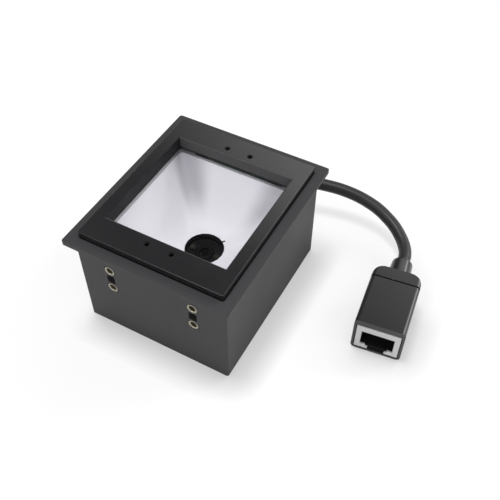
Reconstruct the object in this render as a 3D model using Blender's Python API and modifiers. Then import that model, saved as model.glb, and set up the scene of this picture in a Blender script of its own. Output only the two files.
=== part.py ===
"""Fixed barcode reader that hangs in a panel cut-out, with a short lead to a network coupler.

A black moulded housing carries a flange and a raised window frame. Under the glass a white well
spreads the light of two lamps, and a camera looks up through the hole at its bottom. The boards
stand on the bottom cover. The lead leaves the back wall and ends in a coupler with a shielded
network jack, which lies on the surface that the housing stands on.

Metres, +Z up. The origin is the middle of the housing's underside.
"""
import math

import bmesh
import bpy
from mathutils import Vector

# Clearance between pieces that touch
GAP = 0.0003
# How far a boss or rib runs into the wall that carries it
ROOT = 0.0006
# How far a cutter runs past the face that it opens
OVERRUN = 0.001
CORNER_STEPS = 5
ROUND_STEPS = 24
FINE_STEPS = 36
SMALL_STEPS = 16

# Housing
BODY_WIDTH = 0.0628
BODY_DEPTH = 0.0731
BODY_CORNER = 0.0009
WALL = 0.0022
CAVITY_CORNER = 0.0012
FLANGE_WIDTH = 0.0684
FLANGE_DEPTH = 0.0803
FLANGE_CORNER = 0.0010
FLANGE_THICKNESS = 0.0018
FLANGE_TOP = 0.0452

# Window frame, glass and gasket
FRAME_POCKET = 0.0006
FRAME_WIDTH = 0.0596
FRAME_DEPTH = 0.0711
FRAME_RISE = 0.0028
FRAME_CHAMFER = 0.0004
FRAME_CORNER = 0.0006
OPENING = 0.0502
SKIRT_WALL = 0.0013
WINDOW_RECESS = 0.0059
GASKET_THICKNESS = 0.0006
GLASS_THICKNESS = 0.0014

# White well
WELL_BOTTOM = 0.0195
WELL_WALL = 0.0012
WELL_RIM = 0.0012
WELL_CURVE = 2.2
WELL_TOP_CORNER = 0.0020
WELL_CORNER_FALL = 0.9
WELL_RINGS = 11
LENS_HOLE = 0.0160
RIM_NOTCH_TURN = 54.0
RIM_NOTCH_WIDTH = 0.0008
RIM_NOTCH_DEPTH = 0.0011
RIM_NOTCH_HEIGHT = 0.0010

# Screws that clamp the frame, the glass and the well
CLAMP_X = 0.0230
CLAMP_Y = 0.0306
CLAMP_SHANK = 0.0020
CLAMP_HEAD = 0.0040
CLAMP_HEAD_HEIGHT = 0.0014
CLAMP_GRIP = 0.0020
CLAMP_PILLAR = 0.0056

# Small holes in the frame's front and back bars
PORT_PITCH = 0.0101
PORT_Y = 0.0285
PORT_BORE = 0.0012
PORT_CHAMFER = 0.0005
GUIDE_ROD = 0.0016
GUIDE_BRIDGE = 0.0030
GUIDE_BRIDGE_HEIGHT = 0.0006

# Threaded inserts and slots in the front wall
INSERT_PITCH = 0.0350
INSERT_LEVEL = 0.0292
INSERT_SPACING = 0.0095
INSERT_OUTSIDE = 0.0042
INSERT_BORE = 0.0028
INSERT_LENGTH = 0.0040
INSERT_GROOVE = 0.0003
PAD_WIDTH = 0.0074
PAD_MARGIN = 0.0036
PAD_DEPTH = 0.0026
SLOT_WIDTH = 0.0034
SLOT_HEIGHT = 0.0040
SLOT_DEPTH = 0.0028
SLOT_CORNER = 0.0004

# Bottom cover
COVER_THICKNESS = 0.0018
COVER_SCREW_INSET = 0.0036
COVER_BOSS_HEIGHT = 0.0110
COVER_BOSS_SIZE = 0.0072
COVER_SCREW_SHANK = 0.0020
COVER_SCREW_HEAD = 0.0040
COVER_SCREW_SINK = 0.0012
COVER_SCREW_LENGTH = 0.0080

# Decoder board
BOARD_THICKNESS = 0.0016
BOARD_WIDTH = 0.0480
BOARD_DEPTH = 0.0540
BOARD_SCREW_INSET = 0.0040
BOARD_STANDOFF = 0.0050
BOARD_STANDOFF_SIZE = 0.0052
BOARD_SCREW_SHANK = 0.0016
BOARD_SCREW_HEAD = 0.0034
BOARD_SCREW_HEAD_HEIGHT = 0.0012
CHIP_HEIGHT = 0.0012
CHIP_MARGIN = 0.0010
PROCESSOR_SIZE = (0.0090, 0.0090)
MEMORY_SIZE = (0.0080, 0.0060)

# Camera
CAMERA_BOARD_SIZE = 0.0240
CAMERA_BOARD_THICKNESS = 0.0012
BRACKET_HEIGHT = 0.0020
BRACKET_BAR = 0.0035
BRACKET_HOOK = 0.0010
BRACKET_HOOK_WIDTH = 0.0060
BRACKET_NIB = 0.0007
BRACKET_PEG = 0.0020
SENSOR_SIZE = 0.0056
SENSOR_HEIGHT = 0.0009
HOLDER_SIZE = 0.0100
HOLDER_CELL = 0.0076
BARREL_SIZE = 0.0070
BARREL_BORE = 0.0050
BARREL_STOP = 0.0036
BARREL_RECESS = 0.0012
BARREL_SUNK = 0.0025
LENS_RISE = 0.0004
HOOD_OUTSIDE = 0.0186
HOOD_INSIDE = 0.0154
HOOD_FLOOR = 0.0011
HOOD_DEPTH = 0.0037
LAMP_BOARD_THICKNESS = 0.0006
LAMP_X = 0.0055
LAMP_SIZE = 0.0020
LAMP_HEIGHT = 0.0007

# Indicator and sounder boards under the frame's wide bars
SIDE_BOARD_WIDTH = 0.0270
SIDE_BOARD_THICKNESS = 0.0010
SIDE_BOARD_DROP = 0.0030
STAKE_X = 0.0112
STAKE_MARGIN = 0.0020
STAKE_SIZE = 0.0016
STAKE_HEAD = 0.0028
STAKE_RISE = 0.0007
LEDGE_WIDTH = 0.0040
LEDGE_DEPTH = 0.0042
LEDGE_HEIGHT = 0.0046
LAMP_LENGTH = 0.0022
LAMP_WIDTH = 0.0014
LAMP_BODY = 0.0010
SOUNDER_WIDTH = 0.0120
SOUNDER_HEIGHT = 0.0022
RIBBON_WIDTH = 0.0050
RIBBON_THICKNESS = 0.0003
RIBBON_CLEAR = 0.0008
RIBBON_BEND = 0.0030
HEADER_WIDTH = 0.0070
HEADER_DEPTH = 0.0036
HEADER_HEIGHT = 0.0024

# Lead: where it leaves the back wall, and its gland
LEAD_X = 0.0090
LEAD_Z = 0.0165
LEAD_DIAMETER = 0.0053
LEAD_SPACING = 0.0036
GLAND_NECK = 0.0082
GLAND_FLANGE = 0.0110
GLAND_LIP = 0.0017
BOOT_LENGTH = 0.0056
BOOT_END = 0.0071
INNER_LEAD = 0.0022
PLUG_WIDTH = 0.0094
PLUG_DEPTH = 0.0044
PLUG_HEIGHT = 0.0016
PLUG_Y = 0.0240
PLUG_MARGIN = 0.0004

# Coupler: the middle of its jack face on the floor, and how far it is turned
COUPLER_X = 0.0758
COUPLER_Y = -0.0003
COUPLER_TURN = 7.3
COUPLER_WIDTH = 0.0196
COUPLER_HEIGHT = 0.0175
COUPLER_CORNER = 0.0018
COUPLER_FRONT = 0.0232
COUPLER_SEAM = 0.0006
COUPLER_CAP = 0.0055
COUPLER_CAP_CORNER = 0.0050
COUPLER_FLOOR = 0.0011
COUPLER_AXIS = 0.0081
COLLAR_LENGTH = 0.0116
COLLAR_ROOT = 0.0098
COLLAR_END = 0.0086
COLLAR_ROUNDING = 0.0010
COLLAR_SPIGOT = 0.0030
COLLAR_SPIGOT_SIZE = 0.0080
JACK_WIDTH = 0.0170
JACK_HEIGHT = 0.0131
JACK_DEPTH = 0.0165
JACK_PLATE = 0.0008
JACK_SKIN = 0.0004
SOCKET_WIDTH = 0.0128
SOCKET_HEIGHT = 0.0078
SOCKET_LEVEL = 0.0025
SOCKET_DEPTH = 0.0125
LATCH_WIDE = 0.0086
LATCH_WIDE_DROP = 0.0011
LATCH_NARROW = 0.0066
CONTACTS = 8
CONTACT_PITCH = 0.00102
CONTACT_SIZE = 0.0004
CONTACT_DIP = 0.0021
CONTACT_LENGTH = 0.0072
CONTACT_BAR = 0.0010
TERMINAL_DEPTH = 0.0050
TERMINAL_SLOT = 0.0009
TERMINAL_CUT = 0.0030

# Points that the lead passes, from inside the back wall to the coupler's collar
LEAD_ROUTE = (
    (0.0090, 0.0335, 0.0165), (0.0090, 0.0370, 0.0165), (0.0090, 0.0405, 0.0165), (0.0091, 0.0448, 0.0165),
    (0.0104, 0.0493, 0.0165), (0.0131, 0.0532, 0.0165), (0.0170, 0.0562, 0.0165), (0.0217, 0.0582, 0.0164),
    (0.0267, 0.0595, 0.0162), (0.0317, 0.0605, 0.0159), (0.0367, 0.0611, 0.0154), (0.0417, 0.0613, 0.0147),
    (0.0466, 0.0610, 0.0138), (0.0513, 0.0602, 0.0128), (0.0558, 0.0587, 0.0116), (0.0602, 0.0565, 0.0105),
    (0.0641, 0.0535, 0.0095), (0.0674, 0.0499, 0.0087), (0.0697, 0.0456, 0.0083), (0.07048, 0.0412, 0.0081),
    (0.07102, 0.0370, 0.0081), (0.07147, 0.0335, 0.0081),
)

# Levels and spans worked out from the sizes above
DECK_UNDERSIDE = FLANGE_TOP - FLANGE_THICKNESS
FRAME_TOP = FLANGE_TOP + FRAME_RISE
FRAME_BOTTOM = FLANGE_TOP - FRAME_POCKET + GAP
GLASS_TOP = FRAME_TOP - WINDOW_RECESS
GLASS_BOTTOM = GLASS_TOP - GLASS_THICKNESS
GASKET_BOTTOM = GLASS_TOP + GAP
SKIRT_BOTTOM = GASKET_BOTTOM + GASKET_THICKNESS + GAP
RIM_TOP = GLASS_BOTTOM - GAP
RIM_BOTTOM = RIM_TOP - WELL_RIM
SKIRT_OUTSIDE = OPENING + 2 * SKIRT_WALL
DECK_OPENING = SKIRT_OUTSIDE + 2 * GAP
CAVITY_WIDTH = BODY_WIDTH - 2 * WALL
CAVITY_DEPTH = BODY_DEPTH - 2 * WALL
BOARD_BOTTOM = BOARD_STANDOFF + GAP
BOARD_TOP = BOARD_BOTTOM + BOARD_THICKNESS
CAMERA_BOARD_BOTTOM = BOARD_TOP + BRACKET_HEIGHT + 2 * GAP
CAMERA_BOARD_TOP = CAMERA_BOARD_BOTTOM + CAMERA_BOARD_THICKNESS
HOOD_TOP = WELL_BOTTOM - WELL_WALL - GAP
HOOD_FLOOR_TOP = WELL_BOTTOM - HOOD_DEPTH
HOOD_FLOOR_BOTTOM = HOOD_FLOOR_TOP - HOOD_FLOOR
HOLDER_TOP = HOOD_FLOOR_BOTTOM - GAP
HOLDER_CELL_TOP = CAMERA_BOARD_TOP + GAP + SENSOR_HEIGHT + GAP
BARREL_TOP = WELL_BOTTOM - BARREL_SUNK
SIDE_BOARD_TOP = DECK_UNDERSIDE - SIDE_BOARD_DROP
SIDE_BOARD_BOTTOM = SIDE_BOARD_TOP - SIDE_BOARD_THICKNESS
SIDE_BOARD_INNER = SKIRT_OUTSIDE / 2 + GAP + GAP
SIDE_BOARD_OUTER = CAVITY_DEPTH / 2 - GAP
STAKE_Y = SIDE_BOARD_OUTER - STAKE_MARGIN
JACK_BOTTOM = COUPLER_FLOOR + GAP
JACK_TOP = JACK_BOTTOM + JACK_HEIGHT
SOCKET_BOTTOM = COUPLER_FLOOR + SOCKET_LEVEL
SOCKET_TOP = SOCKET_BOTTOM + SOCKET_HEIGHT

for old in list(bpy.data.objects):
    bpy.data.objects.remove(old, do_unlink=True)

READER = bpy.data.collections.new("fixed_barcode_reader")
CUTTERS = bpy.data.collections.new("cutters")
for collection in (READER, CUTTERS):
    bpy.context.scene.collection.children.link(collection)


def material(name, color, roughness, metallic=0.0, transmission=0.0):
    """Return a Principled material."""
    made = bpy.data.materials.new(name)
    made.use_nodes = True
    shader = made.node_tree.nodes["Principled BSDF"]
    shader.inputs["Base Color"].default_value = (*color, 1.0)
    shader.inputs["Roughness"].default_value = roughness
    shader.inputs["Metallic"].default_value = metallic
    shader.inputs["Transmission Weight"].default_value = transmission
    made.diffuse_color = (*color, 1.0)
    return made


def link(name, mesh):
    """Put a mesh in the scene as an object of the reader."""
    made = bpy.data.objects.new(name, mesh)
    READER.objects.link(made)
    return made


def box(name, low, high):
    """Return a block between two corners."""
    low, high = Vector(low), Vector(high)
    shape = bmesh.new()
    bmesh.ops.create_cube(shape, size=1.0)
    bmesh.ops.scale(shape, vec=high - low, verts=shape.verts)
    mesh = bpy.data.meshes.new(name)
    shape.to_mesh(mesh)
    shape.free()
    made = link(name, mesh)
    made.location = (low + high) / 2
    return made


def rounded_rectangle(width, height, corner, centre=(0.0, 0.0), steps=CORNER_STEPS):
    """Return the outline of a rectangle with round corners, anticlockwise."""
    corner = min(corner, width / 2, height / 2)
    points = []
    for quarter, (side_x, side_y) in enumerate(((1, 1), (-1, 1), (-1, -1), (1, -1))):
        for step in range(steps + 1):
            angle = (quarter + step / steps) * math.pi / 2
            x = side_x * (width / 2 - corner) + corner * math.cos(angle)
            y = side_y * (height / 2 - corner) + corner * math.sin(angle)
            points.append((centre[0] + x, centre[1] + y))
    return points


def plate(name, outline, low, high, axis="Z"):
    """Return an outline with a thickness, from low to high along X, Y or Z.

    Along Y the outline's two values are X and Z, and along X they are Y and Z.
    """
    data = bpy.data.curves.new(name, "CURVE")
    data.dimensions = "2D"
    data.fill_mode = "BOTH"
    data.extrude = (high - low) / 2
    spline = data.splines.new("POLY")
    spline.points.add(len(outline) - 1)
    for point, (x, y) in zip(spline.points, outline):
        point.co = (x, y, 0.0, 1.0)
    spline.use_cyclic_u = True
    made = solid_of_curve(name, data)
    middle = (low + high) / 2
    turns = {"X": (math.pi / 2, 0.0, math.pi / 2), "Y": (math.pi / 2, 0.0, 0.0), "Z": (0.0, 0.0, 0.0)}
    made.rotation_euler = turns[axis]
    made.location["XYZ".index(axis)] = middle
    return made


def solid_of_curve(name, data):
    """Turn a curve into a closed mesh object, with its caps welded."""
    guide = bpy.data.objects.new(name + "_guide", data)
    bpy.context.scene.collection.objects.link(guide)
    evaluated = guide.evaluated_get(bpy.context.evaluated_depsgraph_get())
    mesh = bpy.data.meshes.new_from_object(evaluated)
    bpy.data.objects.remove(guide, do_unlink=True)
    shape = bmesh.new()
    shape.from_mesh(mesh)
    bmesh.ops.remove_doubles(shape, verts=shape.verts, dist=0.000001)
    bmesh.ops.recalc_face_normals(shape, faces=shape.faces)
    shape.to_mesh(mesh)
    shape.free()
    mesh.name = name
    return link(name, mesh)


def turned(name, profile, at=(0.0, 0.0, 0.0), axis="Z", ring=False, steps=ROUND_STEPS):
    """Return a turned shape. The profile holds radius and height, top to bottom on its outer side."""
    shape = bmesh.new()
    points = [shape.verts.new((radius, 0.0, height)) for radius, height in profile]
    for first, second in zip(points, points[1:]):
        shape.edges.new((first, second))
    if ring:
        shape.edges.new((points[-1], points[0]))
    mesh = bpy.data.meshes.new(name)
    shape.to_mesh(mesh)
    shape.free()
    made = link(name, mesh)
    screw = made.modifiers.new("turn", "SCREW")
    screw.axis = "Z"
    screw.steps = steps
    screw.render_steps = steps
    screw.use_merge_vertices = True
    screw.merge_threshold = 0.000005
    made.rotation_euler = {"Z": (0.0, 0.0, 0.0), "Y": (-math.pi / 2, 0.0, 0.0)}[axis]
    made.location = at
    return made


def rod(name, radius, low, high, at=(0.0, 0.0), steps=ROUND_STEPS):
    """Return an upright cylinder."""
    return turned(name, [(0.0, high), (radius, high), (radius, low), (0.0, low)], (*at, 0.0), steps=steps)


def pan_screw(name, at, head, head_height, shank, seat, tip, up=1.0):
    """Return a screw with a domed head. up is 1 with the head above its seat and -1 below it."""
    profile = [(0.0, head_height), (head * 0.32, head_height), (head / 2, head_height * 0.45), (head / 2, 0.0),
               (shank / 2, 0.0), (shank / 2, -abs(seat - tip) + shank / 4), (shank / 4, -abs(seat - tip)),
               (0.0, -abs(seat - tip))]
    made = turned(name, profile, (*at, seat), steps=SMALL_STEPS)
    if up < 0:
        made.rotation_euler = (math.pi, 0.0, 0.0)
    return made


def modify(target, tool, operation):
    """Cut the target with a tool or unite them, and keep the tool with the cutters."""
    change = target.modifiers.new(tool.name, "BOOLEAN")
    change.operation = operation
    change.solver = "EXACT"
    change.object = tool
    READER.objects.unlink(tool)
    CUTTERS.objects.link(tool)
    tool.hide_render = True
    tool.display_type = "WIRE"


def cut(target, *tools):
    """Take the tools' shapes out of the target."""
    for tool in tools:
        modify(target, tool, "DIFFERENCE")


def unite(target, *tools):
    """Add the tools' shapes to the target."""
    for tool in tools:
        modify(target, tool, "UNION")


def gather(name, pieces):
    """Return one cutter that holds the shapes of several."""
    bpy.context.view_layer.update()
    scene_state = bpy.context.evaluated_depsgraph_get()
    shape = bmesh.new()
    for piece in pieces:
        mesh = bpy.data.meshes.new_from_object(piece.evaluated_get(scene_state))
        mesh.transform(piece.matrix_world)
        shape.from_mesh(mesh)
        bpy.data.meshes.remove(mesh)
    for piece in pieces:
        bpy.data.objects.remove(piece, do_unlink=True)
    mesh = bpy.data.meshes.new(name)
    shape.to_mesh(mesh)
    shape.free()
    return link(name, mesh)


def corners(x, y):
    """Return the four points at plus and minus x and y."""
    return [(side_x * x, side_y * y) for side_x in (-1, 1) for side_y in (-1, 1)]


def numbered(name, pieces, look, smooth=True):
    """Name repeated pieces in order and finish each."""
    for number, piece in enumerate(pieces, 1):
        piece.name = f"{name}_{number}"
        finish(piece, look, smooth)


def finish(made, look, smooth=True):
    """Give a piece its material and shade its round faces smooth."""
    made.data.materials.clear()
    made.data.materials.append(look)
    if smooth:
        made.data.shade_smooth()
        made.data.set_sharp_from_angle(angle=math.radians(35))
    return made


BLACK_HOUSING = material("black_housing", (0.045, 0.045, 0.047), 0.55)
BLACK_FRAME = material("gloss_black_frame", (0.012, 0.012, 0.013), 0.16)
BLACK_RUBBER = material("black_rubber", (0.02, 0.02, 0.02), 0.75)
WHITE_WELL = material("white_well", (0.78, 0.77, 0.80), 0.5)
CLEAR_GLASS = material("clear_glass", (0.95, 0.97, 0.97), 0.03, transmission=1.0)
BRASS = material("brass_insert", (0.72, 0.55, 0.25), 0.3, 1.0)
STEEL = material("screw_steel", (0.55, 0.55, 0.56), 0.35, 1.0)
GREEN_BOARD = material("circuit_board", (0.02, 0.12, 0.05), 0.45)
BLACK_CHIP = material("chip_black", (0.02, 0.02, 0.022), 0.5)
CREAM_PLASTIC = material("connector_cream", (0.75, 0.71, 0.60), 0.5)
LAMP_PLASTIC = material("lamp_yellow", (0.75, 0.68, 0.25), 0.3)
RIBBON_PLASTIC = material("ribbon_amber", (0.45, 0.22, 0.05), 0.4)
LEAD_JACKET = material("lead_jacket", (0.03, 0.03, 0.032), 0.5)
COUPLER_BLACK = material("coupler_black", (0.035, 0.035, 0.037), 0.42)
JACK_GREY = material("jack_grey", (0.50, 0.50, 0.50), 0.45, 0.2)
JACK_BLACK = material("jack_black", (0.015, 0.015, 0.015), 0.5)
GOLD = material("contact_gold", (0.85, 0.62, 0.22), 0.25, 1.0)


def insert_places():
    """Return X and Z of the four threaded inserts in the front wall."""
    columns = (-INSERT_PITCH / 2, INSERT_PITCH / 2)
    rows = (INSERT_LEVEL - INSERT_SPACING / 2, INSERT_LEVEL + INSERT_SPACING / 2)
    return [(x, z) for x in columns for z in rows]


def front_wall_features():
    """Return the pads inside the front wall, and the cutters for its inserts and slots."""
    outer = -BODY_DEPTH / 2
    inner = -CAVITY_DEPTH / 2
    pads, cutters = [], []
    pad_height = INSERT_SPACING + 2 * PAD_MARGIN
    for column in (-INSERT_PITCH / 2, INSERT_PITCH / 2):
        outline = rounded_rectangle(PAD_WIDTH, pad_height, BODY_CORNER, (column, INSERT_LEVEL))
        pads.append(plate("insert_pad", outline, inner - ROOT, inner + PAD_DEPTH, axis="Y"))
        outline = rounded_rectangle(SLOT_WIDTH, SLOT_HEIGHT, SLOT_CORNER, (column, INSERT_LEVEL), steps=2)
        cutters.append(plate("wall_slot", outline, outer - OVERRUN, outer + SLOT_DEPTH, axis="Y"))
    radius = INSERT_OUTSIDE / 2 + GAP
    depth = INSERT_LENGTH + GAP
    profile = [(0.0, depth), (radius, depth), (radius, -OVERRUN), (0.0, -OVERRUN)]
    for x, z in insert_places():
        cutters.append(turned("insert_bore", profile, (x, outer, z), axis="Y", steps=20))
    return pads, cutters


def window_ribs():
    """Return the ribs under the deck that keep the glass and gasket in place."""
    inner = DECK_OPENING / 2
    outer = inner + 0.0014
    low, high = RIM_TOP + GAP, DECK_UNDERSIDE + ROOT
    ribs = []
    for side in (-1, 1):
        xs = sorted((side * inner, side * outer))
        ribs.append(box("side_rib", (xs[0], -OPENING / 3, low), (xs[1], OPENING / 3, high)))
        for end in (-1, 1):
            ys = sorted((end * inner, end * outer))
            middle = side * (SIDE_BOARD_WIDTH / 2 + 0.0025)
            ribs.append(box("end_rib", (middle - 0.0018, ys[0], low), (middle + 0.0018, ys[1], high)))
    return ribs


def side_board_ledges():
    """Return the ledges on the front and back walls that carry the two side boards, with their stakes."""
    ledges = []
    wall = CAVITY_DEPTH / 2
    high = SIDE_BOARD_BOTTOM - GAP
    for end in (-1, 1):
        ys = sorted((end * (wall - LEDGE_DEPTH), end * (wall + ROOT)))
        for side in (-1, 1):
            middle = side * STAKE_X
            low_corner = (middle - LEDGE_WIDTH / 2, ys[0], high - LEDGE_HEIGHT)
            ledges.append(box("board_ledge", low_corner, (middle + LEDGE_WIDTH / 2, ys[1], high)))
            head, pin, seat = STAKE_HEAD / 2, STAKE_SIZE / 2, SIDE_BOARD_TOP + GAP
            profile = [(0.0, seat + STAKE_RISE), (pin, seat + STAKE_RISE), (head, seat + STAKE_RISE / 3), (head, seat),
                       (pin, seat), (pin, high - ROOT), (0.0, high - ROOT)]
            ledges.append(turned("board_stake", profile, (middle, end * STAKE_Y, 0.0), steps=SMALL_STEPS))
    return ledges


def cover_screw_places():
    """Return the four places of the bottom cover's screws."""
    return corners(CAVITY_WIDTH / 2 - COVER_SCREW_INSET, CAVITY_DEPTH / 2 - COVER_SCREW_INSET)


def build_housing():
    """Build the moulded body, its flange and deck, and all the bosses inside it."""
    housing = plate("main_housing", rounded_rectangle(BODY_WIDTH, BODY_DEPTH, BODY_CORNER), 0.0, FLANGE_TOP)
    flange = rounded_rectangle(FLANGE_WIDTH, FLANGE_DEPTH, FLANGE_CORNER)
    unite(housing, plate("flange", flange, DECK_UNDERSIDE, FLANGE_TOP))
    cavity = rounded_rectangle(CAVITY_WIDTH, CAVITY_DEPTH, CAVITY_CORNER)
    cut(housing, plate("cavity", cavity, -OVERRUN, DECK_UNDERSIDE))
    pocket = rounded_rectangle(FRAME_WIDTH + 2 * GAP, FRAME_DEPTH + 2 * GAP, FRAME_CORNER + GAP)
    cut(housing, plate("frame_pocket", pocket, FLANGE_TOP - FRAME_POCKET, FLANGE_TOP + OVERRUN))
    half = DECK_OPENING / 2
    cut(housing, box("deck_opening", (-half, -half, DECK_UNDERSIDE - OVERRUN), (half, half, FLANGE_TOP)))

    bosses = window_ribs() + side_board_ledges()
    for x, y in corners(CLAMP_X, CLAMP_Y):
        bosses.append(rod("clamp_pillar", CLAMP_PILLAR / 2, RIM_TOP + GAP, DECK_UNDERSIDE + ROOT, (x, y), SMALL_STEPS))
    wall_x, wall_y = CAVITY_WIDTH / 2 + ROOT, CAVITY_DEPTH / 2 + ROOT
    low, high = COVER_THICKNESS + GAP, COVER_THICKNESS + GAP + COVER_BOSS_HEIGHT
    for x, y in cover_screw_places():
        xs = sorted((math.copysign(wall_x, x), math.copysign(wall_x - COVER_BOSS_SIZE, x)))
        ys = sorted((math.copysign(wall_y, y), math.copysign(wall_y - COVER_BOSS_SIZE, y)))
        bosses.append(box("cover_boss", (xs[0], ys[0], low), (xs[1], ys[1], high)))

    holes = []
    for x, y in corners(CLAMP_X, CLAMP_Y):
        radius = CLAMP_SHANK / 2 + GAP
        holes.append(rod("clamp_hole", radius, RIM_BOTTOM, FLANGE_TOP + OVERRUN, (x, y), SMALL_STEPS))
    for x, y in corners(PORT_PITCH / 2, PORT_Y):
        holes.append(rod("port_hole", GUIDE_ROD / 2 + GAP, RIM_TOP, FLANGE_TOP + OVERRUN, (x, y), SMALL_STEPS))
    for x, y in cover_screw_places():
        radius = COVER_SCREW_SHANK / 2 + GAP
        holes.append(rod("boss_hole", radius, 0.0, COVER_SCREW_LENGTH + 2 * GAP, (x, y), SMALL_STEPS))
    pads, cutters = front_wall_features()
    bosses += pads
    holes += cutters
    radius = GLAND_NECK / 2 + GAP
    profile = [(0.0, OVERRUN), (radius, OVERRUN), (radius, -WALL - OVERRUN), (0.0, -WALL - OVERRUN)]
    holes.append(turned("gland_hole", profile, (LEAD_X, BODY_DEPTH / 2, LEAD_Z), axis="Y"))
    unite(housing, *bosses)
    cut(housing, gather("housing_holes", holes))
    finish(housing, BLACK_HOUSING)


def build_frame():
    """Build the raised frame with its skirt around the window, its ports and its screw holes."""
    frame = plate("window_frame", rounded_rectangle(FRAME_WIDTH, FRAME_DEPTH, FRAME_CORNER, steps=3),
                  FRAME_BOTTOM, FRAME_TOP)
    shape = bmesh.new()
    shape.from_mesh(frame.data)
    weight = shape.edges.layers.float.new("bevel_weight_edge")
    for line in shape.edges:
        on_top = all(corner.co.z > 0.0 for corner in line.verts)
        if on_top and line.calc_face_angle() > math.pi / 4:
            line[weight] = 1.0
    shape.to_mesh(frame.data)
    shape.free()
    edge = frame.modifiers.new("rim_chamfer", "BEVEL")
    edge.width = FRAME_CHAMFER
    edge.segments = 1
    edge.limit_method = "WEIGHT"
    half = SKIRT_OUTSIDE / 2
    unite(frame, box("skirt", (-half, -half, SKIRT_BOTTOM), (half, half, FRAME_BOTTOM + ROOT)))
    half = OPENING / 2
    cut(frame, box("window_opening", (-half, -half, SKIRT_BOTTOM - OVERRUN), (half, half, FRAME_TOP + OVERRUN)))
    holes = []
    bore, mouth = PORT_BORE / 2, PORT_BORE / 2 + PORT_CHAMFER
    depth = FRAME_TOP - FRAME_BOTTOM + OVERRUN
    for x, y in corners(PORT_PITCH / 2, PORT_Y):
        profile = [(0.0, OVERRUN), (mouth, OVERRUN), (mouth, 0.0), (bore, -PORT_CHAMFER), (bore, -depth), (0.0, -depth)]
        holes.append(turned("port", profile, (x, y, FRAME_TOP), steps=20))
    for x, y in corners(CLAMP_X, CLAMP_Y):
        radius = CLAMP_SHANK / 2 + GAP
        holes.append(rod("thread_hole", radius, FRAME_BOTTOM - OVERRUN, FRAME_BOTTOM + CLAMP_GRIP + GAP, (x, y), SMALL_STEPS))
    cut(frame, gather("frame_holes", holes))
    finish(frame, BLACK_FRAME)


def build_window():
    """Build the gasket under the frame's skirt and the glass under the gasket."""
    half, inner = SKIRT_OUTSIDE / 2, OPENING / 2
    high = GASKET_BOTTOM + GASKET_THICKNESS
    gasket = box("window_gasket", (-half, -half, GASKET_BOTTOM), (half, half, high))
    cut(gasket, box("gasket_opening", (-inner, -inner, GASKET_BOTTOM - OVERRUN), (inner, inner, high + OVERRUN)))
    finish(gasket, BLACK_RUBBER, smooth=False)
    glass = box("window_glass", (-half, -half, GLASS_BOTTOM), (half, half, GLASS_TOP))
    finish(glass, CLEAR_GLASS, smooth=False)


def well_section(share, grow):
    """Return half width, corner radius and level of the well's section.

    share runs from 0 at the lens hole to 1 under the glass. grow moves the surface outwards along
    its normal, by the wall's thickness for the outer skin.
    """
    inner, outer = LENS_HOLE / 2, OPENING / 2
    depth = RIM_TOP - WELL_BOTTOM
    half = inner + (outer - inner) * share
    corner = WELL_TOP_CORNER + (inner - WELL_TOP_CORNER) * (1 - share) ** WELL_CORNER_FALL
    level = WELL_BOTTOM + depth * share ** WELL_CURVE
    slope = depth / (outer - inner) * WELL_CURVE * share ** (WELL_CURVE - 1)
    length = math.hypot(1.0, slope)
    return half + grow * slope / length, corner + grow * slope / length, level - grow / length


def well_loft(name, grow, below, above):
    """Return the closed loft from the round lens hole to the square window."""
    sections = [well_section(step / WELL_RINGS, grow) for step in range(WELL_RINGS + 1)]
    if below:
        half, corner, level = sections[0]
        sections.insert(0, (half, corner, level - below))
    half, corner, level = sections[-1]
    sections.append((half, corner, RIM_TOP + above))
    shape = bmesh.new()
    rings = []
    for half, corner, level in sections:
        outline = rounded_rectangle(2 * half, 2 * half, corner, steps=5)
        rings.append([shape.verts.new((x, y, level)) for x, y in outline])
    for lower, upper in zip(rings, rings[1:]):
        for index in range(len(lower)):
            after = (index + 1) % len(lower)
            shape.faces.new((lower[index], lower[after], upper[after], upper[index]))
    shape.faces.new(list(reversed(rings[0])))
    shape.faces.new(rings[-1])
    bmesh.ops.remove_doubles(shape, verts=shape.verts, dist=0.000001)
    bmesh.ops.recalc_face_normals(shape, faces=shape.faces)
    mesh = bpy.data.meshes.new(name)
    shape.to_mesh(mesh)
    shape.free()
    return link(name, mesh)


def build_well():
    """Build the white well: a shell from the square window to the round lens hole, with a rim and ears."""
    well = well_loft("light_well", WELL_WALL, 0.0, -GAP / 2)
    half = SKIRT_OUTSIDE / 2
    unite(well, box("well_rim", (-half, -half, RIM_BOTTOM), (half, half, RIM_TOP)))
    ear = CLAMP_PILLAR / 2 + 0.0002
    for x, y in corners(CLAMP_X, CLAMP_Y):
        reach = CLAMP_Y + ear
        ys = sorted((math.copysign(half - ROOT, y), math.copysign(reach, y)))
        outline = rounded_rectangle(2 * ear, ys[1] - ys[0], ear / 2, (x, (ys[0] + ys[1]) / 2), steps=3)
        unite(well, plate("well_ear", outline, RIM_BOTTOM, RIM_TOP))
    cut(well, well_loft("well_hollow", 0.0, 4 * WELL_WALL, OVERRUN))
    low, high = WELL_BOTTOM - WELL_WALL - OVERRUN, WELL_BOTTOM + RIM_NOTCH_HEIGHT
    notch = box("rim_notch", (-RIM_NOTCH_DEPTH, -RIM_NOTCH_WIDTH / 2, low), (RIM_NOTCH_DEPTH, RIM_NOTCH_WIDTH / 2, high))
    turn = math.radians(RIM_NOTCH_TURN)
    notch.location.xy = LENS_HOLE / 2 * math.cos(turn), LENS_HOLE / 2 * math.sin(turn)
    notch.rotation_euler.z = turn
    cut(well, notch)
    radius = CLAMP_SHANK / 2 + GAP
    low, high = RIM_BOTTOM - OVERRUN, RIM_TOP + OVERRUN
    holes = [rod("ear_hole", radius, low, high, place, SMALL_STEPS) for place in corners(CLAMP_X, CLAMP_Y)]
    cut(well, gather("ear_holes", holes))
    finish(well, WHITE_WELL)


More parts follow.
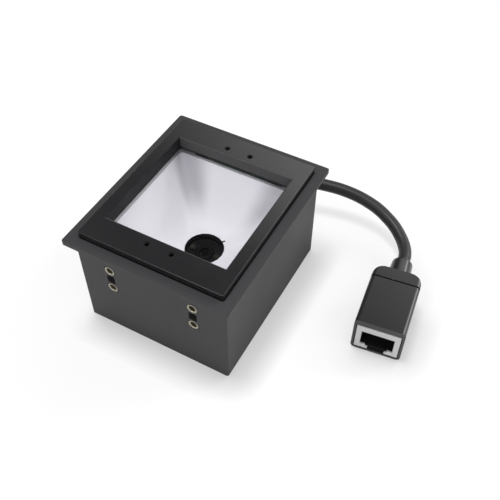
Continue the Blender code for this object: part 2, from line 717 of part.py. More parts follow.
def build_clamp_screws():
    """Build the four screws that draw the well and the glass up to the frame."""
    seat, tip = RIM_BOTTOM - GAP, FRAME_BOTTOM + CLAMP_GRIP
    screws = []
    for place in corners(CLAMP_X, CLAMP_Y):
        screws.append(pan_screw("screw", place, CLAMP_HEAD, CLAMP_HEAD_HEIGHT, CLAMP_SHANK, seat, tip, up=-1.0))
    numbered("clamp_screw", screws, STEEL)


def build_inserts():
    """Build the four threaded brass inserts of the front wall."""
    outside, bore = INSERT_OUTSIDE / 2, INSERT_BORE / 2
    third = INSERT_LENGTH / 3
    lead_in = 0.0002
    profile = [(bore, INSERT_LENGTH), (outside, INSERT_LENGTH), (outside, 2 * third),
               (outside - INSERT_GROOVE, 2 * third), (outside - INSERT_GROOVE, third), (outside, third), (outside, 0.0),
               (bore + lead_in, 0.0), (bore, lead_in)]
    rings = []
    for x, z in insert_places():
        rings.append(turned("insert", profile, (x, -BODY_DEPTH / 2, z), axis="Y", ring=True, steps=20))
    numbered("front_insert", rings, BRASS)


def build_bottom_cover():
    """Build the cover that closes the housing from below, with the standoffs of the decoder board."""
    outline = rounded_rectangle(CAVITY_WIDTH - 2 * GAP, CAVITY_DEPTH - 2 * GAP, CAVITY_CORNER - GAP)
    cover = plate("bottom_cover", outline, 0.0, COVER_THICKNESS)
    standoffs = []
    for place in board_screw_places():
        standoffs.append(rod("standoff", BOARD_STANDOFF_SIZE / 2, COVER_THICKNESS - ROOT, BOARD_STANDOFF, place, SMALL_STEPS))
    unite(cover, *standoffs)
    holes = []
    head = COVER_SCREW_HEAD / 2 + GAP
    shank = COVER_SCREW_SHANK / 2 + GAP
    for x, y in cover_screw_places():
        profile = [(0.0, COVER_THICKNESS + OVERRUN), (shank, COVER_THICKNESS + OVERRUN), (shank, COVER_SCREW_SINK),
                   (head, COVER_SCREW_SINK), (head, -OVERRUN), (0.0, -OVERRUN)]
        holes.append(turned("cover_hole", profile, (x, y, 0.0), steps=20))
    for place in board_screw_places():
        radius = BOARD_SCREW_SHANK / 2 + GAP
        holes.append(rod("pilot", radius, COVER_THICKNESS / 2, BOARD_STANDOFF + OVERRUN, place, SMALL_STEPS))
    cut(cover, gather("cover_holes", holes))
    finish(cover, BLACK_HOUSING)

    screws = []
    for place in cover_screw_places():
        screws.append(pan_screw("screw", place, COVER_SCREW_HEAD, COVER_SCREW_SINK - 2 * GAP, COVER_SCREW_SHANK,
                                COVER_SCREW_SINK - GAP, COVER_SCREW_LENGTH, up=-1.0))
    numbered("cover_screw", screws, STEEL)


def board_screw_places():
    """Return the four places of the decoder board's screws."""
    return corners(BOARD_WIDTH / 2 - BOARD_SCREW_INSET, BOARD_DEPTH / 2 - BOARD_SCREW_INSET)


def bracket_peg_places():
    """Return the two places of the pegs that set the camera bracket on the decoder board."""
    inset = (CAMERA_BOARD_SIZE - BRACKET_BAR) / 2
    return [(-inset, inset), (inset, -inset)]


def build_decoder_board():
    """Build the main board with its chips, its screws and the socket for the camera board."""
    board = plate("decoder_board", rounded_rectangle(BOARD_WIDTH, BOARD_DEPTH, BODY_CORNER), BOARD_BOTTOM, BOARD_TOP)
    low, high = BOARD_BOTTOM - OVERRUN, BOARD_TOP + OVERRUN
    holes = [rod("hole", BOARD_SCREW_SHANK / 2 + GAP, low, high, place, SMALL_STEPS) for place in board_screw_places()]
    holes += [rod("hole", BRACKET_PEG / 2 + GAP, low, high, place, SMALL_STEPS) for place in bracket_peg_places()]
    cut(board, gather("decoder_holes", holes))
    finish(board, GREEN_BOARD, smooth=False)

    low = BOARD_TOP + GAP
    beside_screw = BOARD_WIDTH / 2 - BOARD_SCREW_INSET - BOARD_SCREW_HEAD / 2 - CHIP_MARGIN
    beside_camera = -CAMERA_BOARD_SIZE / 2 - CHIP_MARGIN
    for name, side, width, depth in (("processor", -1, *PROCESSOR_SIZE), ("memory_chip", 1, *MEMORY_SIZE)):
        xs = sorted((side * beside_screw, side * (beside_screw - width)))
        chip = box(name, (xs[0], beside_camera - depth, low), (xs[1], beside_camera, low + CHIP_HEIGHT))
        finish(chip, BLACK_CHIP, smooth=False)

    screws = []
    for place in board_screw_places():
        screws.append(pan_screw("screw", place, BOARD_SCREW_HEAD, BOARD_SCREW_HEAD_HEIGHT, BOARD_SCREW_SHANK,
                                BOARD_TOP + GAP, COVER_THICKNESS / 2 + GAP))
    numbered("decoder_screw", screws, STEEL)

    half = HEADER_WIDTH / 2
    socket = box("camera_socket", (-half, -HEADER_DEPTH / 2, low), (half, HEADER_DEPTH / 2, low + BRACKET_HEIGHT))
    finish(socket, CREAM_PLASTIC, smooth=False)


def build_camera_bracket():
    """Build the moulded frame that carries the camera board between two hooks."""
    half, inner = CAMERA_BOARD_SIZE / 2, CAMERA_BOARD_SIZE / 2 - BRACKET_BAR
    low = BOARD_TOP + GAP
    high = low + BRACKET_HEIGHT
    bracket = box("camera_bracket", (-half, -half, low), (half, half, high))
    nib = CAMERA_BOARD_TOP + GAP
    for side in (-1, 1):
        inside, outside = half + GAP, half + GAP + BRACKET_HOOK
        xs = sorted((side * (half - ROOT), side * outside))
        unite(bracket, box("hook_root", (xs[0], -BRACKET_HOOK_WIDTH / 2, low), (xs[1], BRACKET_HOOK_WIDTH / 2, high)))
        xs = sorted((side * inside, side * outside))
        top = nib + BRACKET_NIB
        unite(bracket, box("hook", (xs[0], -BRACKET_HOOK_WIDTH / 2, low), (xs[1], BRACKET_HOOK_WIDTH / 2, top)))
        xs = sorted((side * (half - BRACKET_NIB), side * (inside + ROOT)))
        unite(bracket, box("nib", (xs[0], -BRACKET_HOOK_WIDTH / 2, nib), (xs[1], BRACKET_HOOK_WIDTH / 2, top)))
    for place in bracket_peg_places():
        unite(bracket, rod("peg", BRACKET_PEG / 2, BOARD_BOTTOM, low + ROOT, place, SMALL_STEPS))
    cut(bracket, box("bracket_opening", (-inner, -inner, low - OVERRUN), (inner, inner, high + OVERRUN)))
    finish(bracket, BLACK_CHIP)


def build_camera():
    """Build the camera board, its sensor, and the lens in its barrel and holder."""
    half = CAMERA_BOARD_SIZE / 2
    board = box("camera_board", (-half, -half, CAMERA_BOARD_BOTTOM), (half, half, CAMERA_BOARD_TOP))
    finish(board, GREEN_BOARD, smooth=False)

    seat = CAMERA_BOARD_TOP + GAP
    half = SENSOR_SIZE / 2
    finish(box("image_sensor", (-half, -half, seat), (half, half, seat + SENSOR_HEIGHT)), BLACK_CHIP, smooth=False)

    half, cell = HOLDER_SIZE / 2, HOLDER_CELL / 2
    holder = box("lens_holder", (-half, -half, seat), (half, half, HOLDER_TOP))
    cut(holder, box("sensor_cell", (-cell, -cell, seat - OVERRUN), (cell, cell, HOLDER_CELL_TOP)))
    cut(holder, rod("holder_bore", BARREL_SIZE / 2 + GAP, HOLDER_CELL_TOP - GAP, HOLDER_TOP + OVERRUN))
    finish(holder, BLACK_CHIP)

    outside, bore, stop = BARREL_SIZE / 2, BARREL_BORE / 2, BARREL_STOP / 2
    shelf = BARREL_TOP - BARREL_RECESS
    low = HOLDER_CELL_TOP + GAP
    edge = 0.0003
    profile = [(bore, BARREL_TOP), (outside - edge, BARREL_TOP), (outside, BARREL_TOP - edge), (outside, low),
               (bore, low), (bore, shelf - 2 * edge), (stop, shelf - 2 * edge), (stop, shelf), (bore, shelf)]
    finish(turned("lens_barrel", profile, ring=True, steps=FINE_STEPS), BLACK_CHIP)
    top = BARREL_TOP - GAP - LENS_RISE
    finish(turned("front_lens", lens_profile(bore - GAP, shelf + GAP, top, LENS_RISE)), CLEAR_GLASS)


def lens_profile(radius, low, top, rise):
    """Return the profile of a lens with a flat back and a domed front."""
    steps = 5
    dome = []
    for step in range(steps + 1):
        share = step / steps
        dome.append((radius * share, top + rise * (1 - share ** 2)))
    return dome + [(radius, low), (0.0, low)]


def build_hood():
    """Build the black hood below the well's hole, the ring board on its floor and its two lamps."""
    outside, inside, bore = HOOD_OUTSIDE / 2, HOOD_INSIDE / 2, BARREL_SIZE / 2 + GAP
    low = CAMERA_BOARD_TOP + GAP
    profile = [(inside, HOOD_TOP), (outside, HOOD_TOP), (outside, low), (inside, low), (inside, HOOD_FLOOR_BOTTOM),
               (bore, HOOD_FLOOR_BOTTOM), (bore, HOOD_FLOOR_TOP), (inside, HOOD_FLOOR_TOP)]
    finish(turned("lens_hood", profile, ring=True, steps=FINE_STEPS), BLACK_CHIP)
    low = HOOD_FLOOR_TOP + GAP
    high = low + LAMP_BOARD_THICKNESS
    outside = inside - GAP
    profile = [(bore, high), (outside, high), (outside, low), (bore, low)]
    finish(turned("lamp_board", profile, ring=True, steps=FINE_STEPS), BLACK_CHIP)
    low = high + GAP
    lamps = []
    for x in (-LAMP_X, LAMP_X):
        corner = (x - LAMP_SIZE / 2, -LAMP_SIZE / 2, low)
        lamps.append(box("lamp", corner, (x + LAMP_SIZE / 2, LAMP_SIZE / 2, low + LAMP_HEIGHT)))
    numbered("well_lamp", lamps, LAMP_PLASTIC, smooth=False)


def build_side_board(name, end):
    """Build one of the two narrow boards under the frame's bars."""
    ys = sorted((end * SIDE_BOARD_INNER, end * SIDE_BOARD_OUTER))
    half = SIDE_BOARD_WIDTH / 2
    board = box(name, (-half, ys[0], SIDE_BOARD_BOTTOM), (half, ys[1], SIDE_BOARD_TOP))
    low, high = SIDE_BOARD_BOTTOM - OVERRUN, SIDE_BOARD_TOP + OVERRUN
    for side in (-1, 1):
        cut(board, rod("stake_hole", STAKE_SIZE / 2 + GAP, low, high, (side * STAKE_X, end * STAKE_Y), SMALL_STEPS))
    finish(board, GREEN_BOARD, smooth=False)


def build_indicator():
    """Build the status lamps below the front ports, and the clear guide that brings their light up."""
    build_side_board("indicator_board", -1)
    low = SIDE_BOARD_TOP + GAP
    top = FRAME_BOTTOM - GAP
    bridge_top = DECK_UNDERSIDE - GAP
    bridge_low = bridge_top - GUIDE_BRIDGE_HEIGHT
    outline = rounded_rectangle(PORT_PITCH + GUIDE_BRIDGE, GUIDE_BRIDGE, GUIDE_BRIDGE / 2, (0.0, -PORT_Y), steps=8)
    guide = plate("light_guide", outline, bridge_low, bridge_top)
    lamps = []
    for x in (-PORT_PITCH / 2, PORT_PITCH / 2):
        corner = (x - LAMP_LENGTH / 2, -PORT_Y - LAMP_WIDTH / 2, low)
        lamps.append(box("lamp", corner, (x + LAMP_LENGTH / 2, -PORT_Y + LAMP_WIDTH / 2, low + LAMP_BODY)))
        unite(guide, rod("guide_rod", GUIDE_ROD / 2, bridge_low + GAP, top, (x, -PORT_Y), SMALL_STEPS))
    numbered("indicator_lamp", lamps, LAMP_PLASTIC, smooth=False)
    finish(guide, CLEAR_GLASS)


def build_sounder():
    """Build the sounder below the back ports, which let its beep out."""
    build_side_board("sounder_board", 1)
    low = SIDE_BOARD_TOP + GAP
    inner, outer = SIDE_BOARD_INNER + GAP, SIDE_BOARD_OUTER - GAP
    half = SOUNDER_WIDTH / 2
    outline = rounded_rectangle(2 * half, outer - inner, BODY_CORNER, (0.0, (inner + outer) / 2))
    finish(plate("sounder", outline, low, low + SOUNDER_HEIGHT), BLACK_CHIP)


def ribbon_outline(path, thickness):
    """Return the outline of a thin ribbon that follows a path."""
    left, right = [], []
    for index, point in enumerate(path):
        before, after = path[max(index - 1, 0)], path[min(index + 1, len(path) - 1)]
        along = Vector((after[0] - before[0], after[1] - before[1])).normalized()
        across = Vector((-along.y, along.x)) * thickness / 2
        left.append((point[0] + across.x, point[1] + across.y))
        right.append((point[0] - across.x, point[1] - across.y))
    return left + right[::-1]


def build_ribbon(name, end):
    """Build the flat lead from a side board down to its header on the decoder board."""
    wall = CAVITY_DEPTH / 2 - RIBBON_CLEAR
    header_face = BOARD_DEPTH / 2 - 0.0010
    low = BOARD_TOP + GAP + HEADER_HEIGHT / 2
    path = [(end * wall, SIDE_BOARD_BOTTOM - GAP)]
    for step in range(7):
        angle = step / 6 * math.pi / 2
        path.append((end * (wall - RIBBON_BEND * (1 - math.cos(angle))), low + RIBBON_BEND * (1 - math.sin(angle))))
    path.append((end * (header_face + GAP), low))
    outline = ribbon_outline(path, RIBBON_THICKNESS)
    half = RIBBON_WIDTH / 2
    finish(plate(name + "_ribbon", outline, -half, half, axis="X"), RIBBON_PLASTIC)
    ys = sorted((end * header_face, end * (header_face - HEADER_DEPTH)))
    half, base = HEADER_WIDTH / 2, BOARD_TOP + GAP
    header = box(name + "_header", (-half, ys[0], base), (half, ys[1], base + HEADER_HEIGHT))
    finish(header, CREAM_PLASTIC, smooth=False)


def tube(name, points, radius, sides=2):
    """Return a round tube that follows the points, with closed ends."""
    data = bpy.data.curves.new(name, "CURVE")
    data.dimensions = "3D"
    data.bevel_depth = radius
    data.bevel_resolution = sides
    data.use_fill_caps = True
    spline = data.splines.new("POLY")
    spline.points.add(len(points) - 1)
    for point, place in zip(spline.points, points):
        point.co = (*place, 1.0)
    return solid_of_curve(name, data)


def smooth_route(route, spacing):
    """Return points at an even spacing on the smooth curve through a route."""
    points = [Vector(place) for place in route]
    points = [2 * points[0] - points[1]] + points + [2 * points[-1] - points[-2]]
    fine = []
    for start in range(len(points) - 3):
        before, first, second, after = points[start:start + 4]
        for step in range(20):
            share = step / 20
            fine.append(0.5 * (2 * first + (second - before) * share
                               + (2 * before - 5 * first + 4 * second - after) * share ** 2
                               + (3 * first - before - 3 * second + after) * share ** 3))
    fine.append(points[-2])
    chosen, travelled = [fine[0]], 0.0
    for first, second in zip(fine, fine[1:]):
        travelled += (second - first).length
        if travelled >= spacing:
            chosen.append(second)
            travelled = 0.0
    if (chosen[-1] - fine[-1]).length < spacing / 2:
        chosen.pop()
    return chosen + [fine[-1]]


def build_lead():
    """Build the gland, the tapered boot, the lead outside and its end inside the housing."""
    wall = BODY_DEPTH / 2
    bore = LEAD_DIAMETER / 2 + GAP
    neck, lip = GLAND_NECK / 2, GLAND_FLANGE / 2
    outside, inside = wall + GAP, wall - WALL - GAP
    at = (LEAD_X, 0.0, LEAD_Z)
    profile = [(bore, outside + GLAND_LIP), (lip - 0.0004, outside + GLAND_LIP), (lip, outside + GLAND_LIP - 0.0004),
               (lip, outside), (neck, outside), (neck, inside), (lip, inside), (lip, inside - GLAND_LIP),
               (bore, inside - GLAND_LIP)]
    finish(turned("cable_gland", profile, at, axis="Y", ring=True), BLACK_RUBBER)
    foot = outside + GLAND_LIP + GAP
    profile = [(bore, foot + BOOT_LENGTH), (BOOT_END / 2, foot + BOOT_LENGTH)]
    for step in range(1, 4):
        share = step / 4
        radius = BOOT_END / 2 + (GLAND_NECK - BOOT_END) / 2 * share ** 1.4
        level = foot + BOOT_LENGTH * (1 - share)
        profile += [(radius, level + 0.0003), (radius - 0.0004, level + 0.0003), (radius - 0.0004, level - 0.0003),
                    (radius, level - 0.0003)]
    profile += [(neck, foot), (bore, foot)]
    finish(turned("cable_boot", profile, at, axis="Y", ring=True), BLACK_RUBBER)
    finish(tube("cable", smooth_route(LEAD_ROUTE, LEAD_SPACING), LEAD_DIAMETER / 2), LEAD_JACKET)

    base = BOARD_TOP + GAP
    header_top = base + HEADER_HEIGHT
    half_x, half_y = PLUG_WIDTH / 2 + PLUG_MARGIN, PLUG_DEPTH / 2 + PLUG_MARGIN
    header = box("lead_header", (LEAD_X - half_x, PLUG_Y - half_y, base), (LEAD_X + half_x, PLUG_Y + half_y, header_top))
    finish(header, CREAM_PLASTIC, smooth=False)
    plug_low = header_top + GAP
    plug_top = plug_low + PLUG_HEIGHT
    low = (LEAD_X - PLUG_WIDTH / 2, PLUG_Y - PLUG_DEPTH / 2, plug_low)
    finish(box("lead_plug", low, (LEAD_X + PLUG_WIDTH / 2, PLUG_Y + PLUG_DEPTH / 2, plug_top)), CREAM_PLASTIC,
           smooth=False)
    start = LEAD_ROUTE[0][1] - GAP
    reach = start - PLUG_Y
    drop = LEAD_Z - plug_top - GAP
    route = []
    for step in range(9):
        angle = step / 8 * math.pi / 2
        route.append((LEAD_X, start - reach * math.sin(angle), LEAD_Z - drop * (1 - math.cos(angle))))
    finish(tube("inner_lead", route, INNER_LEAD / 2), LEAD_JACKET)


def cut_socket(target, start, end, latch_steps):
    """Cut the socket between two depths. Each latch step holds half its width and the level that it goes down to."""
    steps = [(SOCKET_WIDTH / 2, SOCKET_BOTTOM)] + latch_steps
    top = SOCKET_TOP
    for half, level in steps:
        cut(target, box("socket_step", (-half, start, level), (half, end, top)))
        top = level + ROOT


def build_coupler():
    """Build the coupler: a housing with a shielded jack in its mouth, an end cap and a collar."""
    seat = bpy.data.objects.new("coupler_seat", None)
    READER.objects.link(seat)
    seat.location = (COUPLER_X, COUPLER_Y, 0.0)
    seat.rotation_euler = (0.0, 0.0, math.radians(COUPLER_TURN))
    here = set(READER.objects) | set(CUTTERS.objects)

    section = rounded_rectangle(COUPLER_WIDTH, COUPLER_HEIGHT, COUPLER_CORNER, (0.0, COUPLER_HEIGHT / 2))
    housing = plate("coupler_housing", section, 0.0, COUPLER_FRONT, axis="Y")
    mouth_half = JACK_WIDTH / 2 + GAP
    room = JACK_DEPTH + TERMINAL_DEPTH + 3 * GAP
    cut(housing, box("jack_room", (-mouth_half, -OVERRUN, JACK_BOTTOM - GAP), (mouth_half, room, JACK_TOP + GAP)))
    finish(housing, COUPLER_BLACK)

    start = COUPLER_FRONT + COUPLER_SEAM
    end = start + COUPLER_CAP
    cap = plate("coupler_end_cap", section, start, end, axis="Y")
    plan = []
    corner = COUPLER_CAP_CORNER
    half = COUPLER_WIDTH / 2 + OVERRUN
    for step in range(9):
        angle = step / 8 * math.pi / 2
        plan.append((COUPLER_WIDTH / 2 - corner + corner * math.cos(angle), end - corner + corner * math.sin(angle)))
    plan += [(half, end + OVERRUN), (half, end - corner)]
    for side in (-1, 1):
        outline = [(side * x, y) for x, y in plan]
        if side < 0:
            outline.reverse()
        cut(cap, plate("cap_corner", outline, -OVERRUN, COUPLER_HEIGHT + OVERRUN))
    spigot = COLLAR_SPIGOT_SIZE / 2 + GAP
    floor = end - COLLAR_SPIGOT - GAP
    profile = [(0.0, end + OVERRUN), (spigot, end + OVERRUN), (spigot, floor), (0.0, floor)]
    cut(cap, turned("collar_seat", profile, (0.0, 0.0, COUPLER_AXIS), axis="Y"))
    finish(cap, COUPLER_BLACK)

    foot = end + GAP
    bore = LEAD_DIAMETER / 2 + GAP
    top = foot + COLLAR_LENGTH
    root, tip = COLLAR_ROOT / 2, COLLAR_END / 2
    rounding = COLLAR_ROUNDING
    profile = [(bore, top), (tip - rounding, top)]
    for step in range(1, 5):
        angle = step / 4 * math.pi / 2
        profile.append((tip - rounding + rounding * math.sin(angle), top - rounding + rounding * math.cos(angle)))
    profile += [(root, foot), (COLLAR_SPIGOT_SIZE / 2, foot), (COLLAR_SPIGOT_SIZE / 2, foot - COLLAR_SPIGOT),
                (bore, foot - COLLAR_SPIGOT)]
    finish(turned("coupler_collar", profile, (0.0, 0.0, COUPLER_AXIS), axis="Y", ring=True), COUPLER_BLACK)

    half = JACK_WIDTH / 2
    shield = box("jack_shield", (-half, 0.0, JACK_BOTTOM), (half, JACK_DEPTH, JACK_TOP))
    inner_half = half - JACK_SKIN
    low, high = JACK_BOTTOM + JACK_SKIN, JACK_TOP - JACK_SKIN
    cut(shield, box("shield_hollow", (-inner_half, JACK_PLATE, low), (inner_half, JACK_DEPTH + OVERRUN, high)))
    foot = JACK_BOTTOM - OVERRUN
    steps = [(LATCH_WIDE / 2, SOCKET_BOTTOM - LATCH_WIDE_DROP), (LATCH_NARROW / 2, foot)]
    cut_socket(shield, -OVERRUN, 2 * JACK_PLATE, steps)
    finish(shield, JACK_GREY, smooth=False)

    inner_half -= GAP
    low, high = low + GAP, high - GAP
    front = JACK_PLATE + GAP
    insulator = box("jack_insulator", (-inner_half, front, low), (inner_half, JACK_DEPTH, high))
    cut_socket(insulator, 0.0, SOCKET_DEPTH, [(LATCH_WIDE / 2, SOCKET_BOTTOM - LATCH_WIDE_DROP)])
    finish(insulator, JACK_BLACK, smooth=False)

    first = front + 2 * CONTACT_BAR
    span = (CONTACTS * CONTACT_PITCH) / 2
    room = CONTACT_BAR / 2 + GAP
    bar_low, bar_high = SOCKET_TOP + GAP, SOCKET_TOP + GAP + CONTACT_BAR
    cut(insulator, box("contact_room", (-span - GAP, first - room, SOCKET_TOP - OVERRUN),
                       (span + GAP, first + room, bar_high + GAP)))
    room -= GAP
    combs = box("jack_contacts", (-span, first - room, bar_low), (span, first + room, bar_high))
    top = SOCKET_TOP - GAP - CONTACT_SIZE / 2
    path = [(first, bar_low + CONTACT_SIZE), (first, top), (first + CONTACT_SIZE, top - CONTACT_SIZE),
            (first + CONTACT_LENGTH - CONTACT_BAR, SOCKET_TOP - CONTACT_DIP),
            (first + CONTACT_LENGTH, SOCKET_TOP - CONTACT_DIP + CONTACT_SIZE)]
    contacts = []
    for index in range(CONTACTS):
        middle = (index - (CONTACTS - 1) / 2) * CONTACT_PITCH
        outline = ribbon_outline(path, CONTACT_SIZE)
        contacts.append(plate("contact", outline, middle - CONTACT_SIZE / 2, middle + CONTACT_SIZE / 2, axis="X"))
    unite(combs, gather("contact_row", contacts))
    finish(combs, GOLD, smooth=False)

    behind = JACK_DEPTH + GAP
    block = box("jack_terminals", (-inner_half, behind, low), (inner_half, behind + TERMINAL_DEPTH, high))
    slots = []
    for index in range(CONTACTS // 2):
        middle = (index - (CONTACTS // 2 - 1) / 2) * 2 * CONTACT_PITCH
        for z_low, z_high in ((high - TERMINAL_CUT, high + OVERRUN), (low - OVERRUN, low + TERMINAL_CUT)):
            slots.append(box("slot", (middle - TERMINAL_SLOT / 2, behind + TERMINAL_SLOT, z_low),
                             (middle + TERMINAL_SLOT / 2, behind + TERMINAL_DEPTH + OVERRUN, z_high)))
    cut(block, gather("terminal_slots", slots))
    finish(block, CREAM_PLASTIC, smooth=False)

    for made in (set(READER.objects) | set(CUTTERS.objects)) - here:
        made.parent = seat


def main():
    """Build every piece of the reader."""
    build_housing()
    build_frame()
    build_window()
    build_well()
    build_clamp_screws()
    build_inserts()
    build_bottom_cover()
    build_decoder_board()
    build_camera_bracket()
    build_camera()
    build_hood()
    build_indicator()
    build_sounder()
    build_ribbon("indicator", -1)
    build_ribbon("sounder", 1)
    build_lead()
    build_coupler()
    bpy.context.view_layer.update()


main()
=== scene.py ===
"""Studio picture of a fixed barcode reader with a network coupler on its lead.

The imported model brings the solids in. This script finishes them with procedural materials, lays the
lead as one smooth cord, adds what is too fine for the solids, and lights the product on white.
"""
from __future__ import annotations

import logging
import math
from dataclasses import dataclass
from enum import Enum

import bmesh
import bpy
from mathutils import Matrix, Vector


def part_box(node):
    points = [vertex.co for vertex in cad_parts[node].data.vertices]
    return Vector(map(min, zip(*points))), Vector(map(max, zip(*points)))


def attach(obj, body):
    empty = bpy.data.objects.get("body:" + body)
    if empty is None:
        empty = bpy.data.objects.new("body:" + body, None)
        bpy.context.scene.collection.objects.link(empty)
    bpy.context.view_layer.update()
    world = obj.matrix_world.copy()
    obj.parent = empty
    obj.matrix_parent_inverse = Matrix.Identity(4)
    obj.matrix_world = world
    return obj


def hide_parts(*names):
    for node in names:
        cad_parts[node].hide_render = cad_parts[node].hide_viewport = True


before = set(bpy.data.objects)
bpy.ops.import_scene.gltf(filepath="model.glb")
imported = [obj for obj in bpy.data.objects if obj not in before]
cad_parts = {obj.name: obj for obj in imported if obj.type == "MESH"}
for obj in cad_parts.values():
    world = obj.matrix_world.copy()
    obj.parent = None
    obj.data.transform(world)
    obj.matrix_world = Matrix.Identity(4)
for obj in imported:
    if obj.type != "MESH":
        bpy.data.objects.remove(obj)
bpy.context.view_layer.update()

logging.basicConfig(level=logging.INFO, format="%(levelname)s %(message)s")
log = logging.getLogger("reader")

Colour = tuple[float, float, float]
Point = tuple[float, float, float]
Range = tuple[float, float]
NODES: dict[str, bpy.types.Object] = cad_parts

WHITE: Colour = (1.0, 1.0, 1.0)
BLACK: Colour = (0.0, 0.0, 0.0)
NOISE_MIDDLE: Range = (0.3, 0.7)
CLOUD = 0.03
WELD = 0.000002
OVERRUN = 0.0005
CROSS_SPAN = 0.6
CROSS_WEB = 0.16


class Place(Enum):
    """Groups of CAD nodes that share a finish."""

    HOUSING = ("main_housing", "bottom_cover")
    FRAME = ("window_frame",)
    RUBBER = ("window_gasket", "cable_gland", "cable_boot")
    WELL = ("light_well",)
    GLASS = ("window_glass",)
    LENS = ("front_lens",)
    GUIDE = ("light_guide",)
    BOARDS = ("decoder_board", "camera_board", "indicator_board", "sounder_board")
    CAMERA = ("lens_hood", "lens_holder", "lens_barrel", "camera_bracket", "lamp_board")
    CHIPS = ("processor", "memory_chip", "image_sensor", "sounder")
    HEADERS = ("camera_socket", "indicator_header", "sounder_header", "lead_header", "lead_plug",
               "jack_terminals")
    WELL_LAMPS = ("well_lamp_1", "well_lamp_2")
    LAMPS = ("indicator_lamp_1", "indicator_lamp_2")
    RIBBONS = ("indicator_ribbon", "sounder_ribbon")
    BRASS = ("front_insert_1", "front_insert_2", "front_insert_3", "front_insert_4")
    LEADS = ("cable", "inner_lead")
    COUPLER = ("coupler_housing", "coupler_end_cap", "coupler_collar")
    SHIELD = ("jack_shield",)
    SOCKET = ("jack_insulator",)
    CONTACTS = ("jack_contacts",)
    SCREWS = tuple(f"{kind}_screw_{number}" for kind in ("clamp", "cover", "decoder")
                   for number in range(1, 5))


# Node trees


class Signal:
    """A node's output that takes part in arithmetic like a number."""

    def __init__(self, graph: Graph, socket: bpy.types.NodeSocket) -> None:
        """Keep the graph and the socket that carries the value."""
        self.graph = graph
        self.socket = socket

    def __add__(self, other: Signal | float) -> Signal:
        """Return the sum."""
        return self.graph.maths("ADD", self, other)

    def __sub__(self, other: Signal | float) -> Signal:
        """Return the difference."""
        return self.graph.maths("SUBTRACT", self, other)

    def __rsub__(self, other: float) -> Signal:
        """Return what is left of a number, so that 1 - mask works."""
        return self.graph.maths("SUBTRACT", other, self)

    def __mul__(self, other: Signal | float) -> Signal:
        """Return the product."""
        return self.graph.maths("MULTIPLY", self, other)

    __radd__ = __add__
    __rmul__ = __mul__

    def __truediv__(self, other: Signal | float) -> Signal:
        """Return the quotient."""
        return self.graph.maths("DIVIDE", self, other)

    def __pow__(self, other: Signal | float) -> Signal:
        """Return the power."""
        return self.graph.maths("POWER", self, other)

    def __gt__(self, other: Signal | float) -> Signal:
        """Return 1 where this is the larger one."""
        return self.graph.maths("GREATER_THAN", self, other)

    def absolute(self) -> Signal:
        """Return the value without its sign."""
        return self.graph.maths("ABSOLUTE", self)

    def sine(self) -> Signal:
        """Return the sine."""
        return self.graph.maths("SINE", self)

    def ranged(self, low: float, high: float, start: float, end: float, smooth: bool = False) -> Signal:
        """Move the value from one range to another, with no overshoot.

        Args:
            low: The value that becomes start.
            high: The value that becomes end.
            start: First end of the new range.
            end: Second end of the new range.
            smooth: Whether the ends ease in and out.

        Returns:
            The moved value.
        """
        inputs = {"Value": self, "From Min": low, "From Max": high, "To Min": start, "To Max": end}
        easing = "SMOOTHSTEP" if smooth else "LINEAR"
        return self.graph.signal("ShaderNodeMapRange", inputs, "Result", interpolation_type=easing)

    def ramp(self, low: float, high: float) -> Signal:
        """Return a share that eases from 0 at low to 1 at high."""
        return self.ranged(low, high, 0.0, 1.0, smooth=True)


class Graph:
    """A node tree that is written as a formula."""

    def __init__(self, tree: bpy.types.NodeTree) -> None:
        """Start from that tree, emptied."""
        self.tree = tree
        self.tree.nodes.clear()

    def node(self, kind: str, inputs: dict | None = None, **settings) -> bpy.types.Node:
        """Make a node.

        Args:
            kind: The node's Blender type.
            inputs: Socket names or numbers, each with a Signal to link or a constant to set.
            settings: Attributes of the node.

        Returns:
            The new node.
        """
        made = self.tree.nodes.new(kind)
        for name, value in settings.items():
            setattr(made, name, value)
        for name, value in (inputs or {}).items():
            socket = made.inputs[name]
            if isinstance(value, Signal):
                self.tree.links.new(value.socket, socket)
            else:
                socket.default_value = value
        return made

    def signal(self, kind: str, inputs: dict | None = None, output: str | int = 0, **settings) -> Signal:
        """Make a node and return one of its outputs."""
        return Signal(self, self.node(kind, inputs, **settings).outputs[output])

    def maths(self, operation: str, first: Signal | float, second: Signal | float | None = None) -> Signal:
        """Work out one sum on signals.

        Args:
            operation: The Math node's operation.
            first: The first value.
            second: The second value, if the operation takes one.

        Returns:
            The result.
        """
        inputs: dict = {0: first}
        if second is not None:
            inputs[1] = second
        return self.signal("ShaderNodeMath", inputs, operation=operation)


